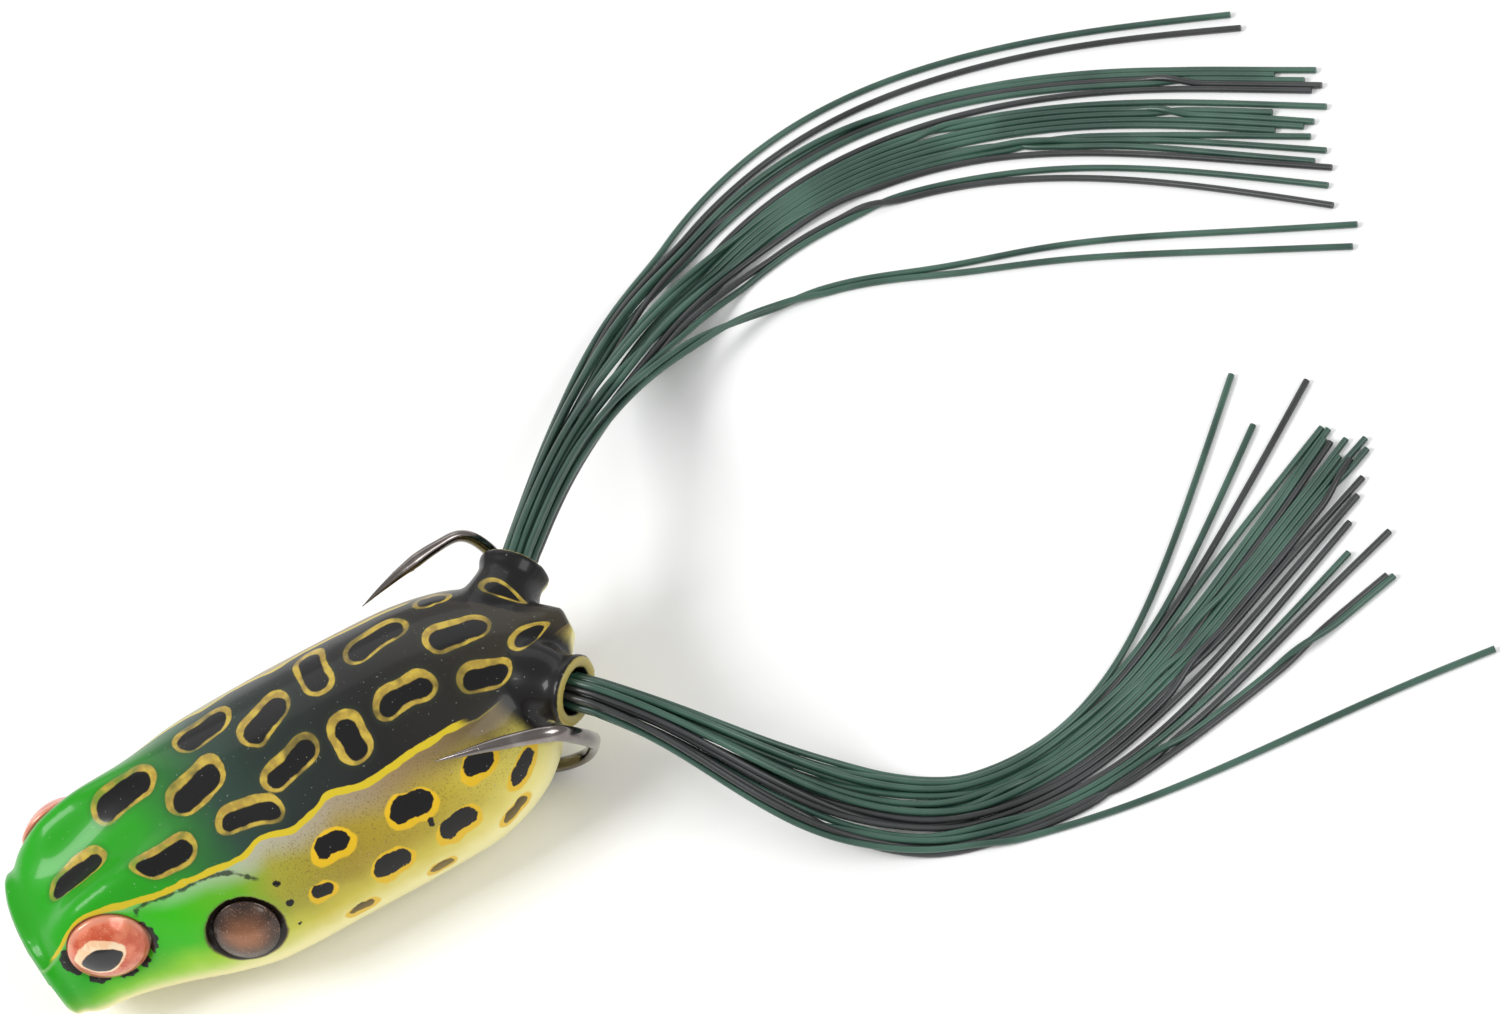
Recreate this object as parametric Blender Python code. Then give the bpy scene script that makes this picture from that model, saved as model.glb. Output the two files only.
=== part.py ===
"""Hollow-bodied topwater popper: a soft frog shell over a weighted double hook, with strand legs.

Metres, +Z up. The nose points to -Y, the frog's left is +X, and the belly rests on Z = 0.
The origin is under the middle of the body.
"""

import math

import bmesh
import bpy
from mathutils import Matrix, Vector

MM = 0.001
GAP = 0.3                   # clearance between pieces that touch on the real lure, in mm

# Driving sizes, in mm
LIP_Y = -31.75              # front edge of the cupped mouth
TAIL_Y = 31.75              # tip of the tail nub
WALL = 1.4                  # thickness of the moulded shell
SECTION_POWER = 2.2         # 2 is an ellipse, more is squarer
BODY_SIDES = 36
WIRE = 1.4                  # hook wire
EYE_RADIUS = 4.1
EYE_HEIGHT = 2.0
EAR_RADIUS = 3.35
EAR_HEIGHT = 1.2
EAR_SEAT_RADIUS = 3.95
COLLAR_RADIUS = 3.9
BORE_RADIUS = 2.45
LOCK = 1.4                  # a lock is a bunch of four rubber strands
LOCKS = 5
LOCK_RING = 1.36            # radius of the ring of locks in a leg socket
FIRST_LOCK = math.radians(162)  # where lock 1 stands in that ring
SOCKET_ROOM = 0.7           # from the free strands' ends to the threaded middle of the bundle

# Sections of the body: y, half width, underside, back, height of the widest place
STATIONS = [
    (-31.75, 8.0, 4.7, 14.8, 8.6),
    (-31.2, 8.5, 4.2, 15.5, 8.5),
    (-30.2, 8.4, 3.9, 15.3, 8.3),
    (-28.5, 9.0, 3.4, 16.1, 8.2),
    (-24.0, 9.5, 2.9, 17.4, 8.3),
    (-19.0, 10.9, 1.8, 19.2, 8.8),
    (-14.0, 12.7, 0.7, 20.2, 9.2),
    (-9.0, 13.9, -0.1, 20.7, 9.5),
    (1.0, 14.0, -0.3, 21.4, 9.8),
    (11.0, 13.8, -0.35, 21.6, 9.8),
    (16.5, 13.3, -0.1, 21.6, 10.0),
    (21.5, 11.7, 1.4, 21.1, 11.0),
    (24.5, 9.7, 3.5, 20.5, 12.0),
    (27.0, 6.9, 7.0, 19.6, 13.0),
    (29.5, 3.6, 10.8, 18.4, 14.2),
    (31.75, 2.0, 13.4, 17.2, 15.4),
]

# Rings of the outer skin, from the bottom of the mouth cup round the lip to the tail: y, section, scale
MOUTH_RINGS = [
    (-27.3, LIP_Y, 0.0),
    (-27.5, LIP_Y, 0.3),
    (-28.5, LIP_Y, 0.58),
    (-30.2, LIP_Y, 0.78),
    (-31.5, LIP_Y, 0.87),
    (-31.75, LIP_Y, 0.94),
]
TAIL_RINGS = [(31.3, TAIL_Y, 0.95), (TAIL_Y, TAIL_Y, 0.6), (TAIL_Y, TAIL_Y, 0.0)]
FLANK_Y = [-31.2, -30.2, -28.5, -27.0, -25.5, -24.0, -22.3, -20.6, -19.0, -16.5, -14.0, -11.5, -9.0,
           -5.0, 1.0, 6.0, 11.0, 14.0, 16.5, 19.0, 21.5, 23.0, 24.5, 25.8, 27.0, 28.3, 29.5, 30.5]

# Brow over each eye: how far it lifts the head, and where
BROW_LIFT = 4.1
BROW_X = 6.4
BROW_Y = -24.0
BROW_WIDE = 3.3
BROW_AHEAD = 5.2
BROW_BEHIND = 9.5
BROW_FROM_Z = 10.0
# The corners of the lip lie this far behind its middle, at this half width
LIP_SWEEP = 0.8
LIP_CORNER = 8.0

# Seats of the eyes and ears on the left side: centre and the way each one faces
EYE_CENTRE = Vector((8.4, -23.6, 14.9))
EYE_FACING = Vector((0.965, -0.14, 0.22)).normalized()
EAR_CENTRE = Vector((12.6, -10.7, 12.3))
EAR_FACING = Vector((0.88, -0.23, 0.41)).normalized()

# Leg socket on the left side: centre of its mouth and the way it points
SOCKET_MOUTH = Vector((8.8, 29.4, 16.0))
SOCKET_FACING = Vector((0.74, 0.67, 0.0)).normalized()
SOCKET_DEPTH = 1.0          # how far the free strands start inside the socket

# The left half of the double hook, from behind its eye to its point
HOOK_EYE = Vector((0.0, -30.2, 8.7))
HOOK_EYE_RADIUS = 1.35
HOOK_ROUTE = [
    (0.55, -28.6, 8.7), (0.6, -24.0, 8.2), (0.6, -12.0, 6.2), (0.6, 2.0, 3.8), (0.62, 12.0, 2.0),
    (0.9, 16.5, 1.25), (2.4, 20.2, 1.15), (4.9, 23.8, 1.5), (7.0, 26.8, 3.6), (9.2, 28.2, 7.8),
    (11.7, 28.2, 12.0), (13.4, 27.5, 15.6), (13.9, 25.9, 18.3), (13.3, 23.0, 19.3),
    (12.4, 19.5, 19.7), (11.6, 16.6, 19.7), (10.8, 14.0, 19.6),
]
POINT_LENGTH = 7.0
BARB_BACK = 5.2
BARB_LENGTH = 2.2
BARB_RADIUS = 0.38
SLOT_FRONT, SLOT_REAR = 11.0, 22.6      # slit in the belly that the wires leave by
SLOT_HALF_FRONT, SLOT_HALF_REAR = 1.9, 5.7
SLOT_LOW, SLOT_HIGH = -2.0, 3.2

# Keel weight: centre, half sizes, and how it leans with the shanks
WEIGHT_CENTRE = Vector((0.0, 3.6, 5.0))
WEIGHT_HALF = Vector((3.6, 7.2, 2.7))
WEIGHT_SLOPE = -0.16
WEIGHT_BLUNT = 0.18
SHANK_SLOPE = 0.175
SHANK_HEIGHT = 3.8          # of the shanks' middle line at SHANK_Y
SHANK_Y = 2.0
SHANK_HALF = 0.6            # from the midline to each shank's middle

# Free strands of each leg: the middle of the bundle, and how far the outer locks stand from it
LEFT_ROUTE = [
    (12.2, 32.5, 15.6), (16.2, 36.4, 13.4), (20.6, 40.4, 9.4), (25.0, 44.6, 5.6), (29.3, 49.6, 2.6),
    (32.6, 56.0, 1.2), (34.2, 63.5, 0.9), (33.8, 71.0, 0.9), (31.4, 79.5, 0.9), (27.6, 88.0, 0.9),
    (23.4, 96.0, 0.9), (18.8, 104.5, 0.9),
]
RIGHT_ROUTE = [
    (-12.6, 32.4, 15.8), (-18.4, 36.6, 14.2), (-25.6, 41.4, 10.6), (-33.0, 47.2, 6.4),
    (-39.6, 54.6, 3.0), (-44.0, 63.0, 1.2), (-46.0, 73.0, 0.9), (-45.4, 83.0, 0.9),
    (-42.4, 93.0, 0.9), (-37.8, 102.5, 0.9), (-32.0, 111.5, 0.9), (-25.4, 120.5, 0.9),
]
LEFT_FAN = [-12.0, -6.0, 0.0, 5.6, 14.5]
RIGHT_FAN = [-12.0, -6.0, 0.0, 6.0, 15.5]
FAN_MIDDLE = 1.9            # spacing of the locks where the legs first lie flat
RING_ORDER = [0, 1, 4, 2, 3]    # place of each lock in the ring, so that none crosses another
LOCK_POINTS = 22


def clear_scene():
    for obj in list(bpy.data.objects):
        bpy.data.objects.remove(obj, do_unlink=True)


def material(name, colour, roughness, metallic=0.0):
    made = bpy.data.materials.new(name)
    made.use_nodes = True
    shader = made.node_tree.nodes["Principled BSDF"]
    shader.inputs["Base Color"].default_value = (*colour, 1.0)
    shader.inputs["Roughness"].default_value = roughness
    shader.inputs["Metallic"].default_value = metallic
    return made


def new_object(name, shape, finish=None, cutter=False):
    """An object from a bmesh in mm, with its mesh in metres."""
    bmesh.ops.scale(shape, vec=(MM, MM, MM), verts=shape.verts)
    bmesh.ops.recalc_face_normals(shape, faces=shape.faces)
    mesh = bpy.data.meshes.new(name)
    shape.to_mesh(mesh)
    shape.free()
    mesh.shade_smooth()
    mesh.set_sharp_from_angle(angle=math.radians(40))
    obj = bpy.data.objects.new(name, mesh)
    bpy.context.scene.collection.objects.link(obj)
    if finish:
        mesh.materials.append(finish)
    if cutter:
        obj.hide_render = True
        obj.display_type = "WIRE"
    return obj


def boolean(obj, operation, other):
    change = obj.modifiers.new(f"{operation.title()} {other.name}", "BOOLEAN")
    change.operation = operation
    change.object = other


def move_origin(obj, place_mm):
    """Puts the object's origin on its joint's axis and leaves its shape where it is."""
    place = Vector(place_mm) * MM
    obj.data.transform(Matrix.Translation(-place))
    obj.location = place


def ease(low, high, value):
    share = min(max((value - low) / (high - low), 0.0), 1.0)
    return share * share * (3 - 2 * share)


def mirrored(point):
    return Vector((-point[0], point[1], point[2]))


def smooth_curve(points, count):
    """Count points, evenly spaced, on a smooth curve through the given ones."""
    knots = [Vector(p) for p in points]
    knots = [knots[0] * 2 - knots[1]] + knots + [knots[-1] * 2 - knots[-2]]
    fine = []
    steps = 16
    for i in range(1, len(knots) - 2):
        a, b, c, d = knots[i - 1:i + 3]
        for step in range(steps):
            t = step / steps
            fine.append(0.5 * (2 * b + (c - a) * t + (2 * a - 5 * b + 4 * c - d) * t * t
                               + (3 * b - a - 3 * c + d) * t ** 3))
    fine.append(knots[-2])
    walked = [0.0]
    for a, b in zip(fine, fine[1:]):
        walked.append(walked[-1] + (b - a).length)
    even = []
    at = 0
    for k in range(count):
        goal = walked[-1] * k / (count - 1)
        while at < len(walked) - 2 and walked[at + 1] < goal:
            at += 1
        share = (goal - walked[at]) / (walked[at + 1] - walked[at])
        even.append(fine[at].lerp(fine[at + 1], min(share, 1.0)))
    return even


# The shell

def section_at(y):
    """Half width, underside, back and widest height of the body at y, eased between stations."""
    rows = STATIONS
    i = max(k for k in range(len(rows) - 1) if rows[k][0] <= max(y, rows[0][0]))
    before, here, there, after = rows[max(i - 1, 0)], rows[i], rows[i + 1], rows[min(i + 2, len(rows) - 1)]
    span = there[0] - here[0]
    t = min(max((y - here[0]) / span, 0.0), 1.0)
    values = []
    for column in range(1, 5):
        slope_here = (there[column] - before[column]) / (there[0] - before[0]) * span
        slope_there = (after[column] - here[column]) / (after[0] - here[0]) * span
        values.append((2 * t ** 3 - 3 * t ** 2 + 1) * here[column] + (t ** 3 - 2 * t ** 2 + t) * slope_here
                      + (3 * t ** 2 - 2 * t ** 3) * there[column] + (t ** 3 - t ** 2) * slope_there)
    return values


def skin_point(y, station, scale, angle, inset=0.0):
    """A point of the body's surface in mm, or of its inner wall if inset is the wall's thickness."""
    half, low, high, waist = section_at(station)
    half, low, high = half - inset, low + inset, high - inset
    across, up = math.cos(angle), math.sin(angle)
    x = half * math.copysign(abs(across) ** (2 / SECTION_POWER), across)
    reach = high - waist if up > 0 else waist - low
    z = reach * math.copysign(abs(up) ** (2 / SECTION_POWER), up)
    point = Vector((x * scale, y, waist + z * scale))
    if scale == 1.0 and not inset:
        spread = BROW_AHEAD if y < BROW_Y else BROW_BEHIND
        lift = math.exp(-((abs(x) - BROW_X) / BROW_WIDE) ** 2 - ((y - BROW_Y) / spread) ** 2)
        point.z += BROW_LIFT * lift * ease(BROW_FROM_Z, BROW_FROM_Z + 3, point.z)
    point.y += LIP_SWEEP * (point.x / LIP_CORNER) ** 2 * ease(LIP_Y + 4.25, LIP_Y + 0.25, y)
    return point


def ringed_shape(rings, sides, inset=0.0, floor=None):
    """A closed surface with a ring of points for each entry of rings; the first and last are its poles."""
    shape = bmesh.new()
    bmesh.ops.create_uvsphere(shape, u_segments=sides, v_segments=len(rings) - 1, radius=1.0)
    for vert in shape.verts:
        ring = round(math.acos(max(-1.0, min(1.0, -vert.co.z))) / math.pi * (len(rings) - 1))
        angle = math.atan2(vert.co.y, vert.co.x)
        vert.co = skin_point(*rings[ring], angle, inset)
        if floor is not None:
            vert.co.z = max(vert.co.z, floor)
    return shape


def facing_matrix(centre, facing):
    return Matrix.Translation(centre) @ facing.to_track_quat("Z", "Y").to_matrix().to_4x4()


def cylinder(centre, facing, radius, start, end, end_radius=None, sides=28):
    """A cylinder or cone along facing, from start to end mm beyond centre."""
    shape = bmesh.new()
    bmesh.ops.create_cone(shape, cap_ends=True, segments=sides, radius1=radius,
                          radius2=radius if end_radius is None else end_radius, depth=end - start)
    bmesh.ops.translate(shape, vec=(0, 0, (start + end) / 2), verts=shape.verts)
    shape.transform(facing_matrix(centre, facing))
    return shape


def hook_slot():
    """The slit in the belly that the two wires leave by, wider towards the tail."""
    shape = bmesh.new()
    bmesh.ops.create_cube(shape, size=1.0)
    for vert in shape.verts:
        at_rear = vert.co.y > 0
        half = SLOT_HALF_REAR if at_rear else SLOT_HALF_FRONT
        vert.co = Vector((math.copysign(half, vert.co.x), SLOT_REAR if at_rear else SLOT_FRONT,
                          SLOT_LOW if vert.co.z < 0 else SLOT_HIGH))
    return shape


def make_shell(skin):
    rings = MOUTH_RINGS + [(y, y, 1.0) for y in FLANK_Y] + TAIL_RINGS
    shell = new_object("hollow_body", ringed_shape(rings, BODY_SIDES, floor=0.0), skin)
    first, last = -23.5, 25.6
    hollow = [(first, first, 0.0), (first + 0.4, first, 0.5), (first + 1.6, first, 0.85)]
    hollow += [(y, y, 1.0) for y in (-20.0, -16.0, -11.0, -5.0, 2.0, 9.0, 15.0, 18.5, 21.5, 23.0)]
    hollow += [(last - 1.2, last - 1.2, 0.9), (last - 0.3, last - 0.3, 0.6), (last, last, 0.0)]
    cutters = [new_object("hollow", ringed_shape(hollow, 24, WALL), cutter=True)]
    for side, place in (("left", Vector), ("right", mirrored)):
        mouth, out = place(SOCKET_MOUTH), place(SOCKET_FACING)
        collar = cylinder(mouth, out, COLLAR_RADIUS + 0.4, -6.5, 0.0, COLLAR_RADIUS)
        boolean(shell, "UNION", new_object(f"collar_{side}", collar, cutter=True))
        bore = cylinder(mouth, out, BORE_RADIUS, -9.0, 2.0)
        cutters.append(new_object(f"bore_{side}", bore, cutter=True))
        eye_seat = cylinder(place(EYE_CENTRE), place(EYE_FACING), EYE_RADIUS + GAP, -GAP, 6.0)
        cutters.append(new_object(f"eye_seat_{side}", eye_seat, cutter=True))
        ear_seat = cylinder(place(EAR_CENTRE), place(EAR_FACING), EAR_SEAT_RADIUS, -GAP, 5.0)
        cutters.append(new_object(f"ear_seat_{side}", ear_seat, cutter=True))
    nose = cylinder(HOOK_EYE, Vector((0, 1, -0.06)).normalized(), 1.6, 0.0, 9.0)
    cutters.append(new_object("nose_hole", nose, cutter=True))
    cutters.append(new_object("hook_slot", hook_slot(), cutter=True))
    for cutter in cutters:
        boolean(shell, "DIFFERENCE", cutter)


# Eyes and ears

def dome(centre, facing, radius, height, rings=7):
    """A shallow dome with a flat back, its back's centre at centre."""
    ball = (radius ** 2 + height ** 2) / (2 * height)
    shape = bmesh.new()
    bmesh.ops.create_uvsphere(shape, u_segments=28, v_segments=rings * 3, radius=ball)
    bmesh.ops.translate(shape, vec=(0, 0, height - ball), verts=shape.verts)
    cut = bmesh.ops.bisect_plane(shape, geom=shape.verts[:] + shape.edges[:] + shape.faces[:],
                                 plane_co=(0, 0, 0), plane_no=(0, 0, -1), clear_outer=True)
    rim = [item for item in cut["geom_cut"] if isinstance(item, bmesh.types.BMEdge)]
    bmesh.ops.contextual_create(shape, geom=rim)
    shape.transform(facing_matrix(centre, facing))
    return shape


def make_eyes_and_ears(copper, bronze):
    for side, place in (("left", Vector), ("right", mirrored)):
        eye = dome(place(EYE_CENTRE), place(EYE_FACING), EYE_RADIUS, EYE_HEIGHT)
        new_object(f"eye_{side}", eye, copper)
        ear = dome(place(EAR_CENTRE), place(EAR_FACING), EAR_RADIUS, EAR_HEIGHT)
        new_object(f"ear_{side}", ear, bronze)


# The double hook and its weight

def tube(points, radii, sides):
    """A closed tube through the points in mm, with a radius at each."""
    shape = bmesh.new()
    side_on = Vector((0, 0, 1))
    loops = []
    for i, point in enumerate(points):
        along = (points[min(i + 1, len(points) - 1)] - points[max(i - 1, 0)]).normalized()
        side_on = (side_on - along * side_on.dot(along)).normalized()
        ring = bmesh.ops.create_circle(shape, segments=sides, radius=radii[i])["verts"]
        turn = Matrix((side_on, along.cross(side_on), along)).transposed().to_4x4()
        bmesh.ops.transform(shape, matrix=Matrix.Translation(point) @ turn, verts=ring)
        edges = {edge for vert in ring for edge in vert.link_edges if edge.other_vert(vert) in ring}
        if loops:
            bmesh.ops.bridge_loops(shape, edges=list(edges) + loops[-1])
        loops.append(list(edges))
    bmesh.ops.contextual_create(shape, geom=loops[0])
    bmesh.ops.contextual_create(shape, geom=loops[-1])
    return shape


def hook_wire(side):
    place, steps = (Vector, 52) if side == "left" else (mirrored, 55)
    points = smooth_curve([place(p) for p in HOOK_ROUTE], steps)
    length = sum((b - a).length for a, b in zip(points, points[1:]))
    step = length / (len(points) - 1)
    radii = []
    for i in range(len(points)):
        to_point = (len(points) - 1 - i) * step
        radii.append(WIRE / 2 * max(min(to_point / POINT_LENGTH, 1.0) ** 0.8, 0.1))
    return points, tube(points, radii, 10)


def barb(points, side):
    """The small raised barb behind a point, on the side that faces the body."""
    tip = points[-1]
    along = (tip - points[-5]).normalized()
    root = tip - along * BARB_BACK
    inward = Vector((-0.5 if side == "left" else 0.5, 0.0, -0.86))
    inward = (inward - along * inward.dot(along)).normalized()
    shape = bmesh.new()
    bmesh.ops.create_cone(shape, cap_ends=True, segments=8, radius1=BARB_RADIUS, radius2=0.05,
                          depth=BARB_LENGTH)
    lean = (-along * 0.86 + inward * 0.5).normalized()
    shape.transform(facing_matrix(root + inward * 0.42 - along * 0.2, lean))
    return shape


def make_hook(steel):
    start = tube_ring(HOOK_EYE, HOOK_EYE_RADIUS, 0.55)
    hook = new_object("twin_hook", start, steel)
    for side in ("left", "right"):
        points, wire = hook_wire(side)
        boolean(hook, "UNION", new_object(f"wire_{side}", wire, cutter=True))
        boolean(hook, "UNION", new_object(f"barb_{side}", barb(points, side), cutter=True))
    move_origin(hook, HOOK_EYE)


def tube_ring(centre, radius, wire_radius):
    """A flat ring of round wire."""
    shape = bmesh.new()
    bmesh.ops.create_circle(shape, segments=10, radius=wire_radius)
    bmesh.ops.rotate(shape, matrix=Matrix.Rotation(math.pi / 2, 3, "X"), verts=shape.verts)
    bmesh.ops.translate(shape, vec=(radius, 0, 0), verts=shape.verts)
    bmesh.ops.spin(shape, geom=shape.verts[:] + shape.edges[:], cent=(0, 0, 0), axis=(0, 0, 1),
                   angle=2 * math.pi, steps=24, use_merge=True)
    bmesh.ops.remove_doubles(shape, verts=shape.verts, dist=1e-4)
    bmesh.ops.translate(shape, vec=centre, verts=shape.verts)
    return shape


def make_weight(lead):
    """A boat-shaped weight that sits astride the two shanks."""
    shape = bmesh.new()
    bmesh.ops.create_uvsphere(shape, u_segments=24, v_segments=14, radius=1.0)
    bmesh.ops.rotate(shape, matrix=Matrix.Rotation(math.pi / 2, 3, "X"), verts=shape.verts)
    for vert in shape.verts:
        x, y, z = vert.co
        blunt = 1.0 + WEIGHT_BLUNT * y
        off = Vector((x * WEIGHT_HALF.x * blunt, y * WEIGHT_HALF.y, z * WEIGHT_HALF.z * blunt))
        vert.co = WEIGHT_CENTRE + off + Vector((0.0, 0.0, off.y * WEIGHT_SLOPE))
    weight = new_object("keel_weight", shape, lead)
    channel = bmesh.new()
    bmesh.ops.create_cube(channel, size=1.0)
    half = SHANK_HALF + WIRE / 2 + GAP
    for vert in channel.verts:
        y = WEIGHT_CENTRE.y + math.copysign(WEIGHT_HALF.y + 3.0, vert.co.y)
        shank_top = SHANK_HEIGHT - (y - SHANK_Y) * SHANK_SLOPE + WIRE / 2
        z = shank_top + GAP + 0.12 if vert.co.z > 0 else -4.0
        vert.co = Vector((math.copysign(half, vert.co.x), y, z))
    boolean(weight, "DIFFERENCE", new_object("shank_channel", channel, cutter=True))
    move_origin(weight, HOOK_EYE)


# The strand legs

def strand_curve(name, points, diameter, finish):
    """A round cord as a curve with a bevel and filled caps, its origin at the leg's joint."""
    data = bpy.data.curves.new(name, "CURVE")
    data.dimensions = "3D"
    data.bevel_depth = diameter / 2 * MM
    data.bevel_resolution = 2
    data.use_fill_caps = True
    spline = data.splines.new("POLY")
    spline.points.add(len(points) - 1)
    for knot, point in zip(spline.points, points):
        knot.co = (*(point * MM), 1.0)
    obj = bpy.data.objects.new(name, data)
    bpy.context.scene.collection.objects.link(obj)
    data.materials.append(finish)
    return obj


def lock_points(route, side, fan, number):
    """The middle of one lock: in a ring at the socket, side by side on the ground, fanned at the tips."""
    place = Vector if side == "left" else mirrored
    mouth, out = place(SOCKET_MOUTH), place(SOCKET_FACING)
    middle = smooth_curve([mouth - out * SOCKET_DEPTH, mouth] + list(route), 60)
    turn = FIRST_LOCK + 2 * math.pi * RING_ORDER[number] / LOCKS
    ring_across = LOCK_RING * math.cos(turn)
    ring_up = LOCK_RING * math.sin(turn)
    row = [-2, -1, 0, 1, 2][number] * FAN_MIDDLE
    points = []
    for i, point in enumerate(middle):
        t = i / (len(middle) - 1)
        along = middle[min(i + 1, len(middle) - 1)] - middle[max(i - 1, 0)]
        across = Vector((along.y, -along.x, 0)).normalized()
        flat = ease(0.03, 0.42, t)
        offset = ring_across * (1 - flat) + row * flat + (fan[number] - row) * ease(0.3, 1.15, t) * 1.1
        lift = ring_up * (1 - ease(0.12, 0.46, t))
        points.append(point + across * offset + Vector((0, 0, lift)))
    return smooth_curve(points[::3] + [points[-1]], LOCK_POINTS)


def make_legs(rubber):
    for side, route, fan in (("left", LEFT_ROUTE, LEFT_FAN), ("right", RIGHT_ROUTE, RIGHT_FAN)):
        for number in range(LOCKS):
            points = lock_points(route, side, fan, number)
            lock = strand_curve(f"leg_{side}_lock_{number + 1}", points, LOCK, rubber)
            pivot = (Vector if side == "left" else mirrored)(SOCKET_MOUTH) * MM
            lock.data.transform(Matrix.Translation(-pivot))
            lock.location = pivot
    inner = SOCKET_MOUTH - SOCKET_FACING * (SOCKET_DEPTH + SOCKET_ROOM)
    half = [inner, inner - SOCKET_FACING * 2.5, inner - SOCKET_FACING * 5.0, Vector((1.5, 23.1, 16.0))]
    loop = smooth_curve(half + [Vector((0, 22.7, 16.0))] + [mirrored(p) for p in reversed(half)], 19)
    strand_curve("leg_strands_middle", loop, LOCK_RING * 2 + LOCK - 0.12, rubber)


def main():
    clear_scene()
    make_shell(material("frog_skin", (0.06, 0.36, 0.02), 0.32))
    make_eyes_and_ears(material("copper_eye", (0.52, 0.14, 0.07), 0.15, 0.4),
                       material("bronze_ear", (0.16, 0.07, 0.04), 0.2, 0.5))
    make_hook(material("black_nickel", (0.05, 0.045, 0.045), 0.2, 1.0))
    make_weight(material("cast_weight", (0.2, 0.2, 0.21), 0.5, 0.9))
    make_legs(material("green_rubber", (0.02, 0.07, 0.05), 0.5))


main()
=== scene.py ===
"""Looks of a hollow-bodied topwater popper: a soft frog shell, a double hook and two legs of strands."""

import math
import random

import bmesh
import bpy
import numpy as np
from mathutils import Matrix, Vector


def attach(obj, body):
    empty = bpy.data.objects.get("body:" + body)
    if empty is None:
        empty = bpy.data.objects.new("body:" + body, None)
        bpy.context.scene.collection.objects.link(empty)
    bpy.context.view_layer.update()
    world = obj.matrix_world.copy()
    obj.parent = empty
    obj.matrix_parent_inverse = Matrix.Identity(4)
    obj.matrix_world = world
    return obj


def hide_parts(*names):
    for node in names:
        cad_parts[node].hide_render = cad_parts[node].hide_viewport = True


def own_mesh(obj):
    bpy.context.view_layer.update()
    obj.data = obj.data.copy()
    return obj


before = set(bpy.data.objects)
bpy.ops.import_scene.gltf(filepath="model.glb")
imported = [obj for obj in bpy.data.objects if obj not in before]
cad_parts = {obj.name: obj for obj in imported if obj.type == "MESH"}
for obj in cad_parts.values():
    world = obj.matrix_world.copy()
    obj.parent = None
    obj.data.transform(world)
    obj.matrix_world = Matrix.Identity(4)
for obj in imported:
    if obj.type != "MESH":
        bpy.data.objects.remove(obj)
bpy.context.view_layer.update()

MM = 0.001
SIDES = {"left": 1, "right": -1}


# Camera
# A product view from above the lure's left side, turned so that the body climbs out of the lower left
# corner. The long lens keeps the body and the spread legs in proportion.

look_down = math.radians(52)
roll = math.radians(28.2)
ahead = Vector((-math.cos(look_down), 0, -math.sin(look_down)))
level = Vector((0, 1, 0))
risen = level.cross(ahead)
across_view = level * math.cos(roll) - risen * math.sin(roll)
up_view = level * math.sin(roll) + risen * math.cos(roll)
lens = bpy.data.cameras.new("camera")
lens.lens = 143.1
camera = bpy.data.objects.new("camera", lens)
camera.matrix_world = Matrix((across_view, up_view, -ahead)).transposed().to_4x4()
camera.location = (0.36595, 0.05307, 0.4862)
bpy.context.scene.collection.objects.link(camera)
bpy.context.scene.camera = camera


# Strand legs
# Each leg is a skirt of twenty round rubber strands, 0.7 mm thick, cut off at uneven lengths. They leave the
# leg socket as one round bundle, sink to the ground, and spread and lie loosely over each other there.

STRAND = 0.7
STRANDS = 20
STRANDS_TO_A_LOCK = 4
STRAND_STEP = 0.8
SOCKET_MOUTH = (8.8, 29.4, 16.0)
SOCKET_FACING = Vector((0.74, 0.67, 0.0)).normalized()
SOCKET_DEPTH = 1.0
BUNDLE_PACKING = 0.4        # radius of the bundle over the square root of its strands
ROW_SPACING = 0.42
ROOM_PAST_THE_ROUTE = 12    # the longest that a strand may reach past the end of its leg's route
SETTLING_ROUNDS = 90
HELD_POINTS = 5             # points of each strand that stay as they leave the socket

LEG_ROUTES = {
    "left": [(12.2, 32.5, 15.6), (16.2, 36.4, 13.4), (20.6, 40.4, 9.4), (25.0, 44.6, 5.6), (29.3, 49.6, 2.6),
             (32.6, 56.0, 1.2), (34.2, 63.5, 0.9), (33.8, 71.0, 0.9), (31.4, 79.5, 0.9), (27.6, 88.0, 0.9),
             (23.4, 96.0, 0.9), (18.8, 104.5, 0.9)],
    "right": [(-12.6, 32.4, 15.8), (-18.4, 36.6, 14.2), (-25.6, 41.4, 10.6), (-33.0, 47.2, 6.4),
              (-39.6, 54.6, 3.0), (-44.0, 63.0, 1.2), (-46.0, 73.0, 0.9), (-45.4, 83.0, 0.9),
              (-42.4, 93.0, 0.9), (-37.8, 102.5, 0.9), (-32.0, 111.5, 0.9), (-25.4, 120.5, 0.9)],
}
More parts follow.
